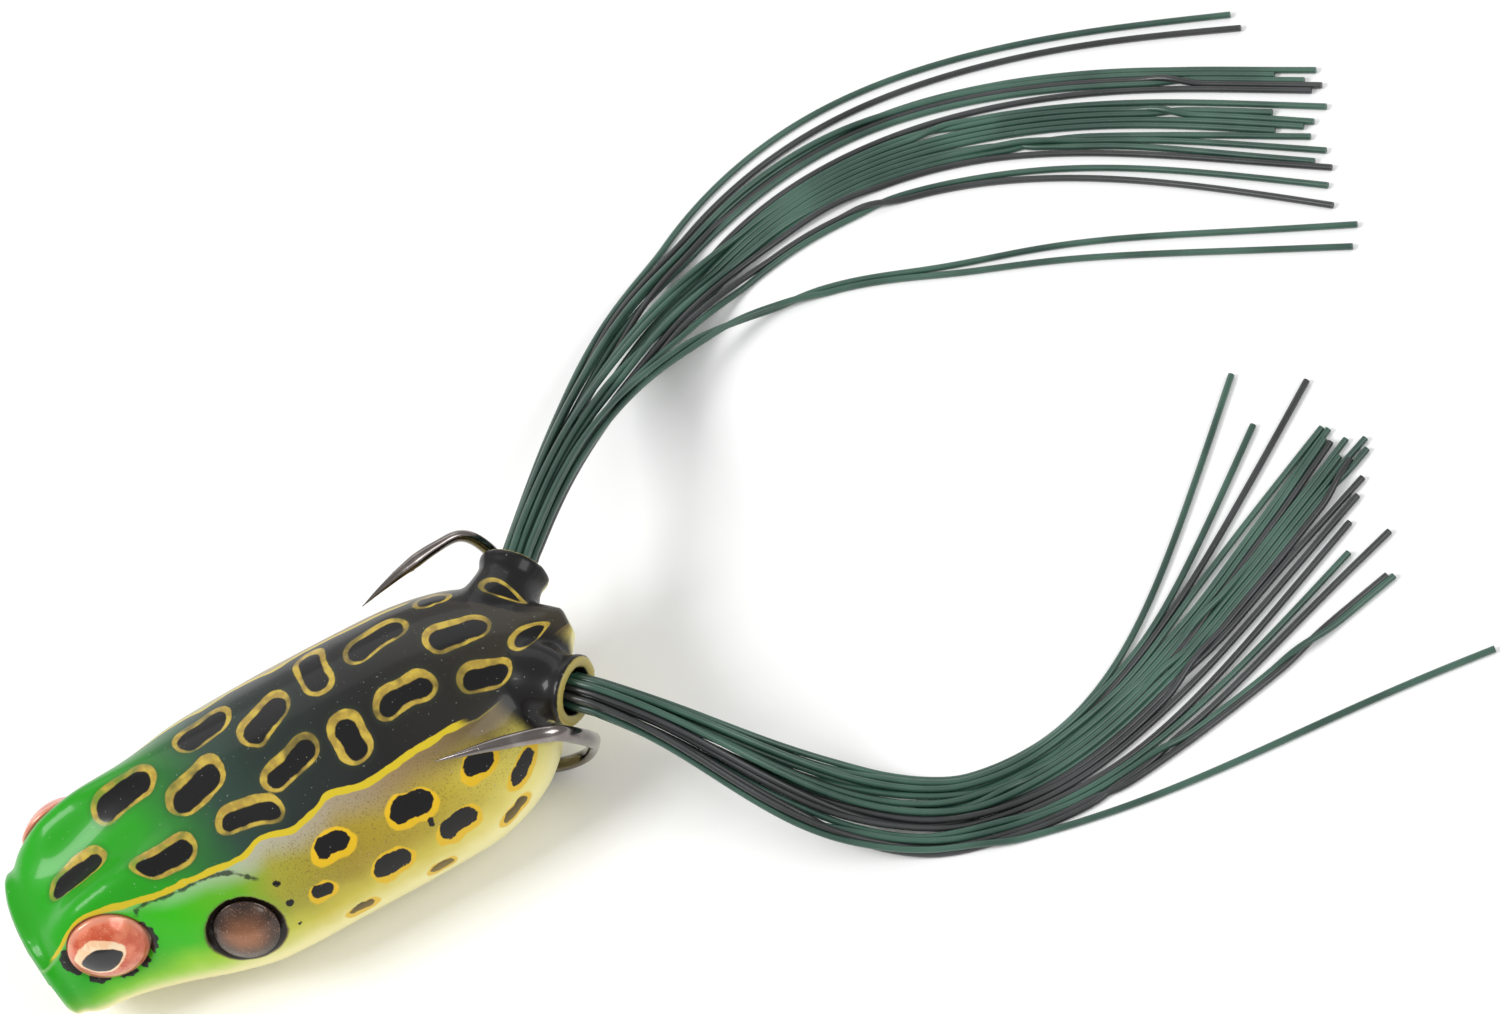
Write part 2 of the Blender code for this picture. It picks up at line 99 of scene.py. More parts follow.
# For each strand: its distance to the inner side of the route halfway and at its tip, and its overhang there
LEG_SPREAD = {
    "left": [(-4.2, -16.4, 7), (-3.4, -10.8, 3), (-2.8, -9.0, 10), (-2.2, -4.8, 6), (-1.8, -3.8, 6),
             (-1.4, -3.2, 5), (-1.0, -2.5, 5), (-0.6, -2.2, 6), (-0.2, -1.0, 4), (0.3, 0.2, 7),
             (0.7, 1.4, 6), (1.1, 0.9, 4), (1.5, 2.4, 3), (2.0, 3.7, 1), (2.5, 5.0, -2),
             (3.0, 6.4, -5), (3.5, 9.3, -1), (4.0, 11.6, -5), (4.6, 12.0, -5.5), (5.6, 26.0, -7.3)],
    "right": [(-10.6, -14.9, -7.7), (-9.8, -12.6, -6.3), (-8.2, -7.3, 3), (-7.4, -6.5, -1.4), (-6.8, -5.8, 2),
              (-6.0, -5.0, 4), (-5.0, -4.2, 3), (-3.4, -2.5, 5), (-2.6, -1.9, -0.7), (-2.0, -0.7, 4),
              (-1.4, 0.6, 3), (-0.8, 1.4, 0), (0.0, 1.9, 4), (0.6, 3.3, 6), (1.3, 4.2, 5),
              (2.0, 5.2, 7), (3.0, 8.4, 7), (4.0, 10.8, 8), (16.5, 12.3, 11), (17.8, 15.7, 11)],
}
BLACK_STRANDS = {"left": (2, 6, 11, 12, 13, 14, 16, 18), "right": (1, 5, 6, 15, 17)}


def put(tree, kind, inputs, **settings):
    """Adds a shader node, links or sets its inputs, and returns it."""
    made = tree.nodes.new("ShaderNode" + kind)
    for setting, value in settings.items():
        setattr(made, setting, value)
    for socket, value in inputs.items():
        if isinstance(value, bpy.types.NodeSocket):
            tree.links.new(value, made.inputs[socket])
        else:
            made.inputs[socket].default_value = value
    return made


def new_finish(name, **even):
    """A material, its node tree and its shader, with the values that are even all over it."""
    made = bpy.data.materials.new(name)
    made.use_nodes = True
    shader = made.node_tree.nodes["Principled BSDF"]
    for socket, value in even.items():
        shader.inputs[socket.replace("_", " ").title().replace("Ior", "IOR")].default_value = value
    return made, made.node_tree, shader


def sums(tree, operation, first, second=0.0):
    return put(tree, "Math", {0: first, 1: second}, operation=operation).outputs[0]


def between(tree, value, low, high):
    """0 at low and 1 at high, eased."""
    return put(tree, "MapRange", {"Value": value, "From Min": low, "From Max": high},
               interpolation_type="SMOOTHSTEP").outputs["Result"]


def spread(tree, value, least, most, low=0.0, high=1.0):
    """From least where the value is low to most where it is high."""
    return put(tree, "MapRange", {"Value": value, "From Min": low, "From Max": high, "To Min": least,
                                  "To Max": most}).outputs["Result"]


def cover(tree, under, over, amount):
    """The colour over laid on the colour under."""
    colours = {6: under, 7: over}
    colours = {socket: (*value, 1.0) if isinstance(value, tuple) else value
               for socket, value in colours.items()}
    return put(tree, "Mix", {0: amount, **colours}, data_type="RGBA").outputs[2]


def shades(tree, value, stops):
    """A colour ramp with a colour at each place from 0 to 1."""
    made = put(tree, "ValToRGB", {"Fac": value})
    marks = made.color_ramp.elements
    while len(marks) < len(stops):
        marks.new(0.5)
    for mark, (place, colour) in zip(marks, stops):
        mark.position = place
        mark.color = (*colour, 1.0)
    return made.outputs["Color"]


def place_on(tree):
    return put(tree, "TexCoord", {}).outputs["Object"]


def speckle(tree, per_metre, detail=2.0, place=None):
    """Even noise from 0 to 1 with that many lumps to a metre."""
    return put(tree, "TexNoise", {"Vector": place or place_on(tree), "Scale": per_metre, "Detail": detail},
               ).outputs["Fac"]


def marked(tree, name):
    """A value that the mesh carries at each of its points."""
    return put(tree, "Attribute", {}, attribute_name=name).outputs["Fac"]


def write_marks(mesh, marks):
    """Gives each point of the mesh a value under each name, for its finish to read."""
    for name, values in marks.items():
        values = values.astype(np.float32)
        mesh.attributes.new(name, "FLOAT", "POINT").data.foreach_set("value", values)


def lay_on(tree, shader, colour, lumps, smoothest, dullest):
    """Gives the shader its colour, and a roughness that follows the lumps."""
    tree.links.new(colour, shader.inputs["Base Color"])
    tree.links.new(spread(tree, lumps, smoothest, dullest), shader.inputs["Roughness"])


def roughen(tree, shader, height, depth_mm, strength=1.0):
    bump = put(tree, "Bump", {"Height": height, "Distance": depth_mm * MM, "Strength": strength})
    tree.links.new(bump.outputs["Normal"], shader.inputs["Normal"])


def distance_along(line):
    """How far along a line each of its points is."""
    return np.concatenate([[0], np.linalg.norm(np.diff(line, axis=0), axis=1).cumsum()])


def read_off(goals, places, line):
    """Where a line is at the goals, when its own points are at the places."""
    return np.stack([np.interp(goals, places, column) for column in line.T], axis=1)


def sideways(line):
    """The level direction to the right of a line at each of its points."""
    along = np.gradient(line, axis=0)
    beside = np.stack([along[:, 1], -along[:, 0], 0 * along[:, 0]], axis=1)
    return beside / np.linalg.norm(beside, axis=1, keepdims=True)


def smooth_curve(points, count):
    """Count points, evenly spaced, on a smooth curve through the given ones."""
    knots = np.array(points, float)
    knots = np.vstack([2 * knots[0] - knots[1], knots, 2 * knots[-1] - knots[-2]])
    t = np.linspace(0, 1, 16, endpoint=False)[:, None]
    a, b, c, d = knots[:-3, None], knots[1:-2, None], knots[2:-1, None], knots[3:, None]
    fine = 0.5 * (2 * b + (c - a) * t + (2 * a - 5 * b + 4 * c - d) * t ** 2
                  + (3 * b - a - 3 * c + d) * t ** 3)
    fine = np.vstack([fine.reshape(-1, knots.shape[1]), knots[-2:-1]])
    walked = distance_along(fine)
    return read_off(np.linspace(0, walked[-1], count), walked, fine)


def ease(low, high, value):
    share = np.clip((value - low) / (high - low), 0, 1)
    return share * share * (3 - 2 * share)


def round_bundle(count):
    """Places across and up in a round bundle, from one side of it to the other."""
    number = np.arange(count)
    radius = BUNDLE_PACKING * np.sqrt(number + 0.5)
    turn = number * math.radians(137.5)
    places = np.stack([radius * np.cos(turn), radius * np.sin(turn)], axis=1)
    return places[np.argsort(places[:, 0])]


def lay_strands(side):
    """The middle lines of a leg's strands in mm, before they settle."""
    sign = SIDES[side]
    flip = np.array([sign, 1, 1])
    mouth, out = np.array(SOCKET_MOUTH) * flip, np.array(SOCKET_FACING) * flip
    middle = smooth_curve([mouth - out * SOCKET_DEPTH, mouth] + LEG_ROUTES[side], 500)
    route_length = distance_along(middle)[-1]
    step = route_length / (len(middle) - 1)
    past_the_end = (middle[-1] - middle[-2]) * np.arange(1, int(ROOM_PAST_THE_ROUTE / step))[:, None]
    middle = np.vstack([middle, middle[-1] + past_the_end])
    inner = sideways(middle)
    places = np.arange(len(middle))
    drift = random.Random(11 if side == "left" else 5)
    lines = []
    for number, ((halfway, tip, overhang), (beside, above)) in enumerate(
            zip(LEG_SPREAD[side], round_bundle(STRANDS))):
        length = route_length + overhang
        count = round(length / STRAND_STEP)
        reach = np.linspace(0, length, count)
        share = reach / length
        row = (number - (STRANDS - 1) / 2) * ROW_SPACING
        halfway += drift.uniform(-1.3, 1.3)
        wave = drift.uniform(0.2, 0.7) * np.sin(share * drift.uniform(5, 9) + drift.uniform(0, 6.3))
        offset = beside + (row - beside) * ease(0.04, 0.36, share) + (halfway - row) * ease(0.22, 0.66, share)
        offset += (tip - halfway) * np.clip((share - 0.5) / 0.5, 0, 1) ** 1.6 + wave * ease(0.15, 0.5, share)
        flat = ease(0.12, 0.46, share)
        layer = number % 2 * 0.6 + drift.uniform(0, 0.5)
        rise = above * (1 - flat) + flat * (layer - 0.54)
        line = read_off(reach / step, places, middle)
        line += read_off(reach / step, places, inner) * offset[:, None]
        line[:, 2] += rise
        lines.append(line)
    return lines


def settle(lines):
    """Strands that would run into each other slide and climb apart, and keep to the ground."""
    longest = max(len(line) for line in lines)
    cloth = np.full((len(lines), longest, 3), 0.0)
    cloth += np.arange(len(lines))[:, None, None] * 1000.0
    for row, line in zip(cloth, lines):
        row[:len(line)] = line
    same = np.eye(len(lines), dtype=bool)[:, :, None]
    for _ in range(SETTLING_ROUNDS):
        push = np.zeros_like(cloth)
        for shift in range(-2, 3):
            other = np.roll(cloth, shift, axis=1)
            apart = cloth[:, None] - other[None]
            distance = np.linalg.norm(apart, axis=3)
            short = np.where(same, 0.0, np.clip(STRAND * 1.03 - distance, 0, None))
            push += (apart / np.maximum(distance, 0.05)[..., None] * short[..., None]).sum(axis=1)
        push[..., :2] *= 0.5
        cloth[:, HELD_POINTS:] += np.clip(push[:, HELD_POINTS:] * 0.35, -0.2, 0.2)
        for row, line in zip(cloth, lines):
            count = len(line)
            calm = (row[:count - 2] + row[2:count]) / 2
            row[HELD_POINTS:count - 1] += 0.35 * (calm - row[1:count - 1])[HELD_POINTS - 1:]
            row[count - 1] = 2 * row[count - 2] - row[count - 3]
            row[:count, 2] -= 0.02 * ease(0.35, 0.5, np.linspace(0, 1, count))
            row[:count, 2] = np.maximum(row[:count, 2], STRAND / 2)
    return [row[:len(line)] for row, line in zip(cloth, lines)]


def worked_out(thing):
    """The mesh that the thing's bevel or modifiers make."""
    bpy.context.view_layer.update()
    return bpy.data.meshes.new_from_object(thing.evaluated_get(bpy.context.evaluated_depsgraph_get()))


def strand_mesh(name, lines):
    """Round strands with cut ends along lines in mm, as one mesh."""
    line = bpy.data.curves.new(name, "CURVE")
    line.dimensions = "3D"
    line.bevel_depth = STRAND / 2 * MM
    line.bevel_resolution = 3
    line.use_fill_caps = True
    for points in lines:
        run = line.splines.new("POLY")
        run.points.add(len(points) - 1)
        for knot, point in zip(run.points, points * MM):
            knot.co = (*point, 1.0)
    drawn = bpy.data.objects.new(name, line)
    bpy.context.scene.collection.objects.link(drawn)
    mesh = worked_out(drawn)
    bpy.data.objects.remove(drawn)
    mesh.name = name
    mesh.shade_smooth()
    mesh.set_sharp_from_angle(angle=math.radians(40))
    return mesh


def show(name, mesh, finish):
    made = bpy.data.objects.new(name, mesh)
    bpy.context.scene.collection.objects.link(made)
    mesh.materials.clear()
    mesh.materials.append(finish)
    return made


def rubber_finish(name, deep, lit):
    """Solid-coloured rubber with a dull skin, paler in places, and a fine grain."""
    made, tree, shader = new_finish(name, roughness=0.36, coat_weight=0.35, coat_roughness=0.2)
    tone = between(tree, speckle(tree, 90.0, 3.0), 0.3, 0.7)
    dust = between(tree, speckle(tree, 2600.0, 2.0), 0.62, 0.8)
    dusty = tuple(0.5 + 0.5 * channel for channel in lit)
    colour = cover(tree, cover(tree, deep, lit, tone), dusty, sums(tree, "MULTIPLY", dust, 0.05))
    lay_on(tree, shader, colour, speckle(tree, 400.0), 0.34, 0.52)
    roughen(tree, shader, speckle(tree, 1500.0, 3.0), 0.02, 0.5)
    return made


green_rubber = rubber_finish("green_rubber", (0.014, 0.052, 0.036), (0.045, 0.115, 0.082))
black_rubber = rubber_finish("black_rubber", (0.012, 0.013, 0.013), (0.036, 0.038, 0.040))
for side in SIDES:
    for number, line in enumerate(settle(lay_strands(side))):
        finish = black_rubber if number in BLACK_STRANDS[side] else green_rubber
        strand = show(f"{side}_strand_{number + 1:02d}", strand_mesh("strand", [line]), finish)
        path = line * MM
        length = distance_along(path)[-1]
        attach(strand, f"{side}_leg")
        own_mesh(strand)
        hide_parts(f"leg_{side}_lock_{number // STRANDS_TO_A_LOCK + 1}")


# Middle of the strand skirt
# The strands are threaded through the shell from one leg socket to the other, so the two legs are the two
# ends of one bundle. Inside the body it bows towards the tail wall, close to the sockets.

SOCKET_ROOM = 0.7           # between the ends of a leg's strands and their middle


def middle_bundle():
    """The middle lines of the strands inside the body, in mm, from one socket to the other."""
    inward = -np.array(SOCKET_FACING)
    start = np.array(SOCKET_MOUTH) + inward * (SOCKET_DEPTH + SOCKET_ROOM)
    half = [start, start + inward * 2.5, start + inward * 5.0, (1.5, 23.1, 16.0)]
    other_half = [np.array(point) * (-1, 1, 1) for point in reversed(half)]
    middle = smooth_curve(half + [(0, 22.7, 16.0)] + other_half, 60)
    beside = sideways(middle)
    return [middle + beside * across + np.array([0, 0, up]) for across, up in round_bundle(STRANDS)]


bundle = show("strand_bundle_middle", strand_mesh("strand_bundle_middle", middle_bundle()), green_rubber)
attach(bundle, "shell")
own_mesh(bundle)
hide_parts("leg_strands_middle")


# Shell
# One hollow moulding in soft PVC, 1.4 mm thick: the cupped face, the brows, the body, the two flanged leg
# sockets and the tail nub. It is cast in one piece, airbrushed, printed with the frog's spots and cleared.

WALL = 1.4
SECTION_POWER = 2.2
BODY_SIDES = 132
RING_STEP = 0.55
VOXEL = 0.3
# Sections of the body: y, half width, underside, back, height of the widest place
STATIONS = np.array([
    (-31.75, 8.0, 4.7, 14.8, 8.6), (-31.2, 8.5, 4.2, 15.5, 8.5), (-30.2, 8.4, 3.9, 15.3, 8.3),
    (-28.5, 9.0, 3.4, 16.1, 8.2), (-24.0, 9.5, 2.9, 17.4, 8.3), (-19.0, 10.9, 1.8, 19.2, 8.8),
    (-14.0, 12.7, 0.7, 20.2, 9.2), (-9.0, 13.9, -0.1, 20.7, 9.5), (1.0, 14.0, -0.3, 21.4, 9.8),
    (11.0, 13.8, -0.35, 21.6, 9.8), (16.5, 13.3, -0.1, 21.6, 10.0), (21.5, 11.7, 1.4, 21.1, 11.0),
    (24.5, 9.7, 3.5, 20.5, 12.0), (27.0, 6.9, 7.0, 19.6, 13.0), (29.5, 3.6, 10.8, 18.4, 14.2),
    (31.75, 2.0, 13.4, 17.2, 15.4)])
LIP_Y, TAIL_Y = STATIONS[0, 0], STATIONS[-1, 0]
# The corners of the lip lie this far behind its middle, at this half width
LIP_SWEEP, LIP_CORNER = 0.8, 8.0
# Rings of the mouth cup from its bottom to the lip, and of the blunt tail: y, section and its scale
MOUTH_RINGS = [(-27.3, LIP_Y, 0.0), (-27.35, LIP_Y, 0.15), (-27.5, LIP_Y, 0.3), (-27.9, LIP_Y, 0.45),
               (-28.5, LIP_Y, 0.58), (-29.3, LIP_Y, 0.69), (-30.2, LIP_Y, 0.78), (-31.0, LIP_Y, 0.83),
               (-31.5, LIP_Y, 0.87), (-31.75, LIP_Y, 0.94)]
TAIL_RINGS = [(31.3, TAIL_Y, 0.95), (31.65, TAIL_Y, 0.8), (TAIL_Y, TAIL_Y, 0.5), (TAIL_Y, TAIL_Y, 0.0)]
BROW = {"lift": 4.1, "x": 6.4, "y": -24.0, "wide": 3.3, "ahead": 5.2, "behind": 9.5, "from_z": 10.0}
EYE_CENTRE = Vector((8.4, -23.6, 14.9))
EYE_FACING = Vector((0.965, -0.14, 0.22)).normalized()
EYE_RADIUS = 4.1
EAR_CENTRE = Vector((12.6, -10.7, 12.3))
EAR_FACING = Vector((0.88, -0.23, 0.41)).normalized()
EAR_SEAT_RADIUS = 3.95
SEAT_DEPTH = 0.35           # how deep the eyes and the ears sit
BORE_RADIUS = 2.45
NOSE_HOLE_RADIUS = 1.6
HOOK_EYE = Vector((0.0, -30.2, 8.7))
# Half of a leg socket's outline, turned about its axis: distance from its mouth, radius
COLLAR_OUTLINE = [(-6.5, 0.0), (-6.5, 4.1), (-4.5, 4.0), (-3.2, 3.7), (-2.2, 3.4), (-1.4, 3.4), (-0.9, 3.65),
                  (-0.5, 3.75), (-0.15, 3.7), (0.0, 3.5), (0.0, 0.0)]


def body_section(y):
    """Half width, underside, back and widest height of the body at each y, eased between the sections."""
    rows = STATIONS
    here_at = np.clip(np.searchsorted(rows[:, 0], y, side="right") - 1, 0, len(rows) - 2)
    before, here, there, after = (rows[np.clip(here_at + k, 0, len(rows) - 1)] for k in (-1, 0, 1, 2))
    span = there[:, :1] - here[:, :1]
    t = np.clip((y[:, None] - here[:, :1]) / span, 0, 1)
    slope_here = (there - before) / (there[:, :1] - before[:, :1]) * span
    slope_there = (after - here) / (after[:, :1] - here[:, :1]) * span
    eased = ((2 * t ** 3 - 3 * t ** 2 + 1) * here + (t ** 3 - 2 * t ** 2 + t) * slope_here
             + (3 * t ** 2 - 2 * t ** 3) * there + (t ** 3 - t ** 2) * slope_there)
    return eased[:, 1:].T


def brow_lift(x, y, z):
    spread = np.where(y < BROW["y"], BROW["ahead"], BROW["behind"])
    lift = np.exp(-((np.abs(x) - BROW["x"]) / BROW["wide"]) ** 2 - ((y - BROW["y"]) / spread) ** 2)
    return BROW["lift"] * lift * ease(BROW["from_z"], BROW["from_z"] + 3, z)


def ringed_shape(rings, sides, inset=0.0):
    """A closed skin with a ring of points for each y, section and scale; the first and last are poles."""
    shape = bmesh.new()
    bmesh.ops.create_uvsphere(shape, u_segments=sides, v_segments=len(rings) - 1, radius=1.0)
    balls = np.array([vert.co for vert in shape.verts])
    ring = np.rint(np.arccos(np.clip(-balls[:, 2], -1, 1)) / math.pi * (len(rings) - 1)).astype(int)
    y, station, scale = np.array(rings)[ring].T
    angle = np.arctan2(balls[:, 1], balls[:, 0])
    half, low, high, waist = body_section(station)
    half, low, high = half - inset, low + inset, high - inset
    across, up = np.cos(angle), np.sin(angle)
    x = half * np.sign(across) * np.abs(across) ** (2 / SECTION_POWER) * scale
    rise = np.sign(up) * np.abs(up) ** (2 / SECTION_POWER)
    z = np.where(up > 0, high - waist, waist - low) * rise * scale + waist
    if not inset:
        z += np.where(scale == 1.0, brow_lift(x, y, z), 0.0)
        z = np.maximum(z, 0.0)
    y = y + LIP_SWEEP * (x / LIP_CORNER) ** 2 * ease(LIP_Y + 4.25, LIP_Y + 0.25, y)
    for vert, point in zip(shape.verts, np.stack([x, y, z], axis=1)):
        vert.co = point
    return shape


def facing_matrix(centre, facing):
    return Matrix.Translation(centre) @ facing.to_track_quat("Z", "Y").to_matrix().to_4x4()


def turned(outline, sides):
    """A solid turned about Z from its outline, given as height and radius, with both ends on the axis."""
    shape = bmesh.new()
    verts = [shape.verts.new((radius, 0.0, height)) for height, radius in outline]
    edges = [shape.edges.new(pair) for pair in zip(verts, verts[1:])]
    bmesh.ops.spin(shape, geom=verts + edges, cent=(0, 0, 0), axis=(0, 0, 1), angle=2 * math.pi, steps=sides,
                   use_merge=True)
    bmesh.ops.remove_doubles(shape, verts=shape.verts, dist=1e-4)
    return shape


def plug(radius, start, end, sides=48):
    """A round cutter from start to end along Z."""
    return turned([(start, 0.0), (start, radius), (end, radius), (end, 0.0)], sides)


def solid(name, shape, placed=None):
    """An object in metres from a bmesh in mm."""
    if placed is not None:
        shape.transform(placed)
    bmesh.ops.scale(shape, vec=(MM, MM, MM), verts=shape.verts)
    bmesh.ops.recalc_face_normals(shape, faces=shape.faces)
    mesh = bpy.data.meshes.new(name)
    shape.to_mesh(mesh)
    shape.free()
    mesh.shade_smooth()
    made = bpy.data.objects.new(name, mesh)
    bpy.context.scene.collection.objects.link(made)
    return made


def fitted(thing, *steps):
    """The thing's mesh with tools joined to it or cut from it, in order; the tools are used up."""
    for operation, tool in steps:
        change = thing.modifiers.new(operation, "BOOLEAN")
        change.operation = operation
        change.object = tool
    mesh = worked_out(thing)
    mesh.name = thing.name
    for used in [tool for _, tool in steps] + [thing]:
        bpy.data.objects.remove(used)
    return mesh


def both_sides(place):
    """A centre and a facing on the left, and the same on the right."""
    for sign in SIDES.values():
        yield tuple(Vector((sign * v.x, v.y, v.z)) for v in place)


def belly_slot():
    """The slit in the belly that the two wires leave by, wider towards the tail."""
    shape = bmesh.new()
    bmesh.ops.create_cube(shape, size=1.0)
    for vert in shape.verts:
        at_rear = vert.co.y > 0
        half = 5.7 if at_rear else 1.9
        vert.co = (math.copysign(half, vert.co.x), 22.6 if at_rear else 11.0, -2.0 if vert.co.z < 0 else 3.2)
    bmesh.ops.bevel(shape, geom=[e for e in shape.edges if abs(e.verts[0].co.z - e.verts[1].co.z) > 3],
                    offset=1.2, segments=5, affect="EDGES", profile=0.5, material=-1)
    return shape


def mould_shell():
    """The shell as it comes out of the mould, before it is painted."""
    flank = np.arange(-31.2, 30.6, RING_STEP)
    rings = MOUTH_RINGS + [(y, y, 1.0) for y in flank] + TAIL_RINGS
    body = solid("frog_shell", ringed_shape(rings, BODY_SIDES))
    first, last = -23.5, 25.6
    hollow = [(first + ahead_by, first, scale) for ahead_by, scale in (
        (0.0, 0.0), (0.1, 0.25), (0.4, 0.5), (1.0, 0.7), (1.6, 0.85))]
    hollow += [(y, y, 1.0) for y in np.arange(-20.0, 23.1, 1.5)]
    hollow += [(last - 1.2, last - 1.2, 0.9), (last - 0.3, last - 0.3, 0.6), (last, last, 0.0)]
    socket = (Vector(SOCKET_MOUTH), SOCKET_FACING)
    steps = [("UNION", solid("collar", turned(COLLAR_OUTLINE, 64), facing_matrix(*place)))
             for place in both_sides(socket)]
    steps.append(("DIFFERENCE", solid("hollow", ringed_shape(hollow, 60, WALL))))
    for name, place, size in (("bore", socket, (BORE_RADIUS, -9.0, 2.0)),
                              ("seat", (EYE_CENTRE, EYE_FACING), (EYE_RADIUS + 0.25, -SEAT_DEPTH, 4.0)),
                              ("seat", (EAR_CENTRE, EAR_FACING), (EAR_SEAT_RADIUS, -SEAT_DEPTH, 5.0))):
        steps += [("DIFFERENCE", solid(name, plug(*size), facing_matrix(*either)))
                  for either in both_sides(place)]
    nose = facing_matrix(HOOK_EYE, Vector((0, 1, -0.06)).normalized())
    steps.append(("DIFFERENCE", solid("nose_hole", plug(NOSE_HOLE_RADIUS, 0.0, 9.0), nose)))
    steps.append(("DIFFERENCE", solid("belly_slot", belly_slot())))
    rough = bpy.data.objects.new("frog_shell", fitted(body, *steps))
    bpy.context.scene.collection.objects.link(rough)
    skin = rough.modifiers.new("skin", "REMESH")
    skin.mode = "VOXEL"
    skin.voxel_size = VOXEL * MM
    return fitted(rough)


def about_axis(points, start, facing):
    """How far each point lies along an axis, and how far from it."""
    apart = points - np.array(start)
    depth = apart @ np.array(facing)
    return depth, np.linalg.norm(apart - depth[:, None] * np.array(facing), axis=1)


def relax_skin(mesh):
    """Evens the surface, most of all where the leg sockets run into the body."""
    shape = bmesh.new()
    shape.from_mesh(mesh)
    points = np.array([vert.co for vert in shape.verts]) / MM
    verts = np.array(shape.verts)
    areas = [(4, verts)]
    for mouth, out in both_sides((Vector(SOCKET_MOUTH), SOCKET_FACING)):
        depth, radius = about_axis(points, mouth, out)
        areas.append((14, verts[(depth < -2.4) & (depth > -7.5) & (radius > 3.0) & (radius < 6.5)]))
    for rounds, area in areas:
        for _ in range(rounds):
            bmesh.ops.smooth_vert(shape, verts=list(area), factor=0.5, use_axis_x=True, use_axis_y=True,
                                  use_axis_z=True)
    for vert in shape.verts:
        vert.co.z = max(vert.co.z, 0.0)
    shape.to_mesh(mesh)
    shape.free()
    mesh.shade_smooth()


DEGREE = 0.22               # mm of skin to a degree round the body, for the printed pattern
# Spots on the back: y, degrees left of the spine, length, width, slant, bend, waist
BACK_SPOTS = [
    (-23.2, 4, 7.4, 3.8, -4, 0.3, -0.1), (-15.5, -15.0, 7.8, 4.0, 4, 0.2, 0.0),
    (-14.2, 26.5, 7.2, 3.5, 14, -0.4, 0.0), (-8.5, 1, 7.0, 3.6, 14, -0.3, 0.0),
    (-5.7, -24, 7.0, 4.2, 8, -0.3, 0.05), (-4.8, 23.5, 7.2, 3.1, -14, 0.6, 0.0),
    (0.5, -10.5, 6.8, 3.7, 24, -0.2, 0.0), (1.0, 13, 7.2, 3.2, 14, -0.2, 0.05),
    (6.9, -22.5, 7.4, 3.7, 91, 0.3, 0.05), (7.5, 16, 5.6, 3.8, 92, 0.1, 0.05),
    (13.8, -21, 7.4, 4.0, 12, 0.4, 0.05), (14.2, 11, 7.0, 3.5, 0, 0.5, 0.1),
    (21.5, -5, 7.0, 3.5, -4, 0.0, 0.0), (22.2, 23, 6.2, 3.5, -28, 0.0, 0.0),
    (20.5, -37, 4.2, 3.8, 10, 0.2, 0.1), (27.8, 17, 4.2, 4.6, -20, 0.0, 0.0),
    (27.2, -32, 3.7, 3.4, -40, 0.0, 0.0)]
# Spots on each flank, in degrees from the spine
FLANK_SPOTS = [
    (1.0, 56.5, 4.8, 3.4, 0, 0.5, 0.0), (-2.0, 75, 3.4, 2.7, -6, 0.0, 0.0),
    (5.2, 81.5, 5.0, 3.7, 8, 0.2, 0.0), (9.6, 59, 5.6, 4.1, -4, 0.3, 0.1),
    (12.8, 80, 5.4, 3.4, 10, 0.2, 0.08), (17.6, 59, 4.6, 3.6, -10, 0.3, 0.0),
    (21.0, 80, 4.8, 3.2, 24, 0.0, 0.05), (0.2, 98.5, 3.9, 2.5, -6, 0.0, 0.0),
    (9.2, 101, 3.6, 2.5, 0, 0.0, 0.0), (18.2, 97, 4.2, 2.6, 8, 0.0, 0.0)]
# Small black dots on each flank: y, degrees, radius
DOTS = [(-5.8, 58, 0.42), (-5.5, 71, 0.38), (-5.8, 85, 0.34), (10.5, 72, 0.3), (10.6, 69.5, 0.22)]
# The yellow line down each side and the black stroke between the eye and the ear: y, degrees from the spine
SIDE_LINE = [(-29.5, 47), (-25.5, 44), (-22.5, 45), (-19.5, 45.5), (-15.5, 42.5), (-11.5, 39), (-7.5, 39),
             (-5.0, 35.5), (-1.8, 39.5), (1.2, 37), (3.2, 34), (6.8, 38), (12.2, 36), (17.0, 36),
             (19.5, 39)]
FAR_LINE_DROP = 7           # degrees the line on the right flank lies below the one on the left
EYE_STROKE = [(-19.6, 52), (-18.9, 48.4), (-17.4, 45.6), (-15.5, 44.2), (-13.5, 42.2), (-11.5, 40.8),
              (-9.8, 42), (-8.4, 46), (-7.2, 51.5)]
# Black blots round the eye: degrees from the tailward side, up positive, and radius
EYE_BLOTS = [(180, 1.0), (168, 0.6), (-171, 0.85), (-160, 0.45), (-136, 0.5), (-126, 0.6), (-116, 0.35),
             (-96, 0.4), (-87, 0.5), (-78, 0.3), (-61, 0.4), (-52, 0.3), (-30, 0.4), (-19, 0.6), (-7, 0.75),
             (5, 0.75), (16, 0.5)]


UNMARKED = 9.0              # a distance in mm that no mark reaches


def spot_distance(along, round_, spot):
    """Signed distance in mm to a bean-shaped spot's edge, and where across the spot each point is."""
    y, degrees, length, width, slant, bend, waist = spot
    away, up = along - y, -(round_ - degrees) * DEGREE
    turn = math.radians(slant)
    u = away * math.cos(turn) + up * math.sin(turn)
    v = up * math.cos(turn) - away * math.sin(turn)
    straight = max((length - width) / 2, 0.05)
    v = v + bend * (u / (length / 2)) ** 2 - bend / 3
    radius = width / 2 * (1 - waist * np.exp(-(u / (0.5 * straight + 0.3)) ** 2))
    return np.hypot(np.maximum(np.abs(u) - straight, 0), v) - radius


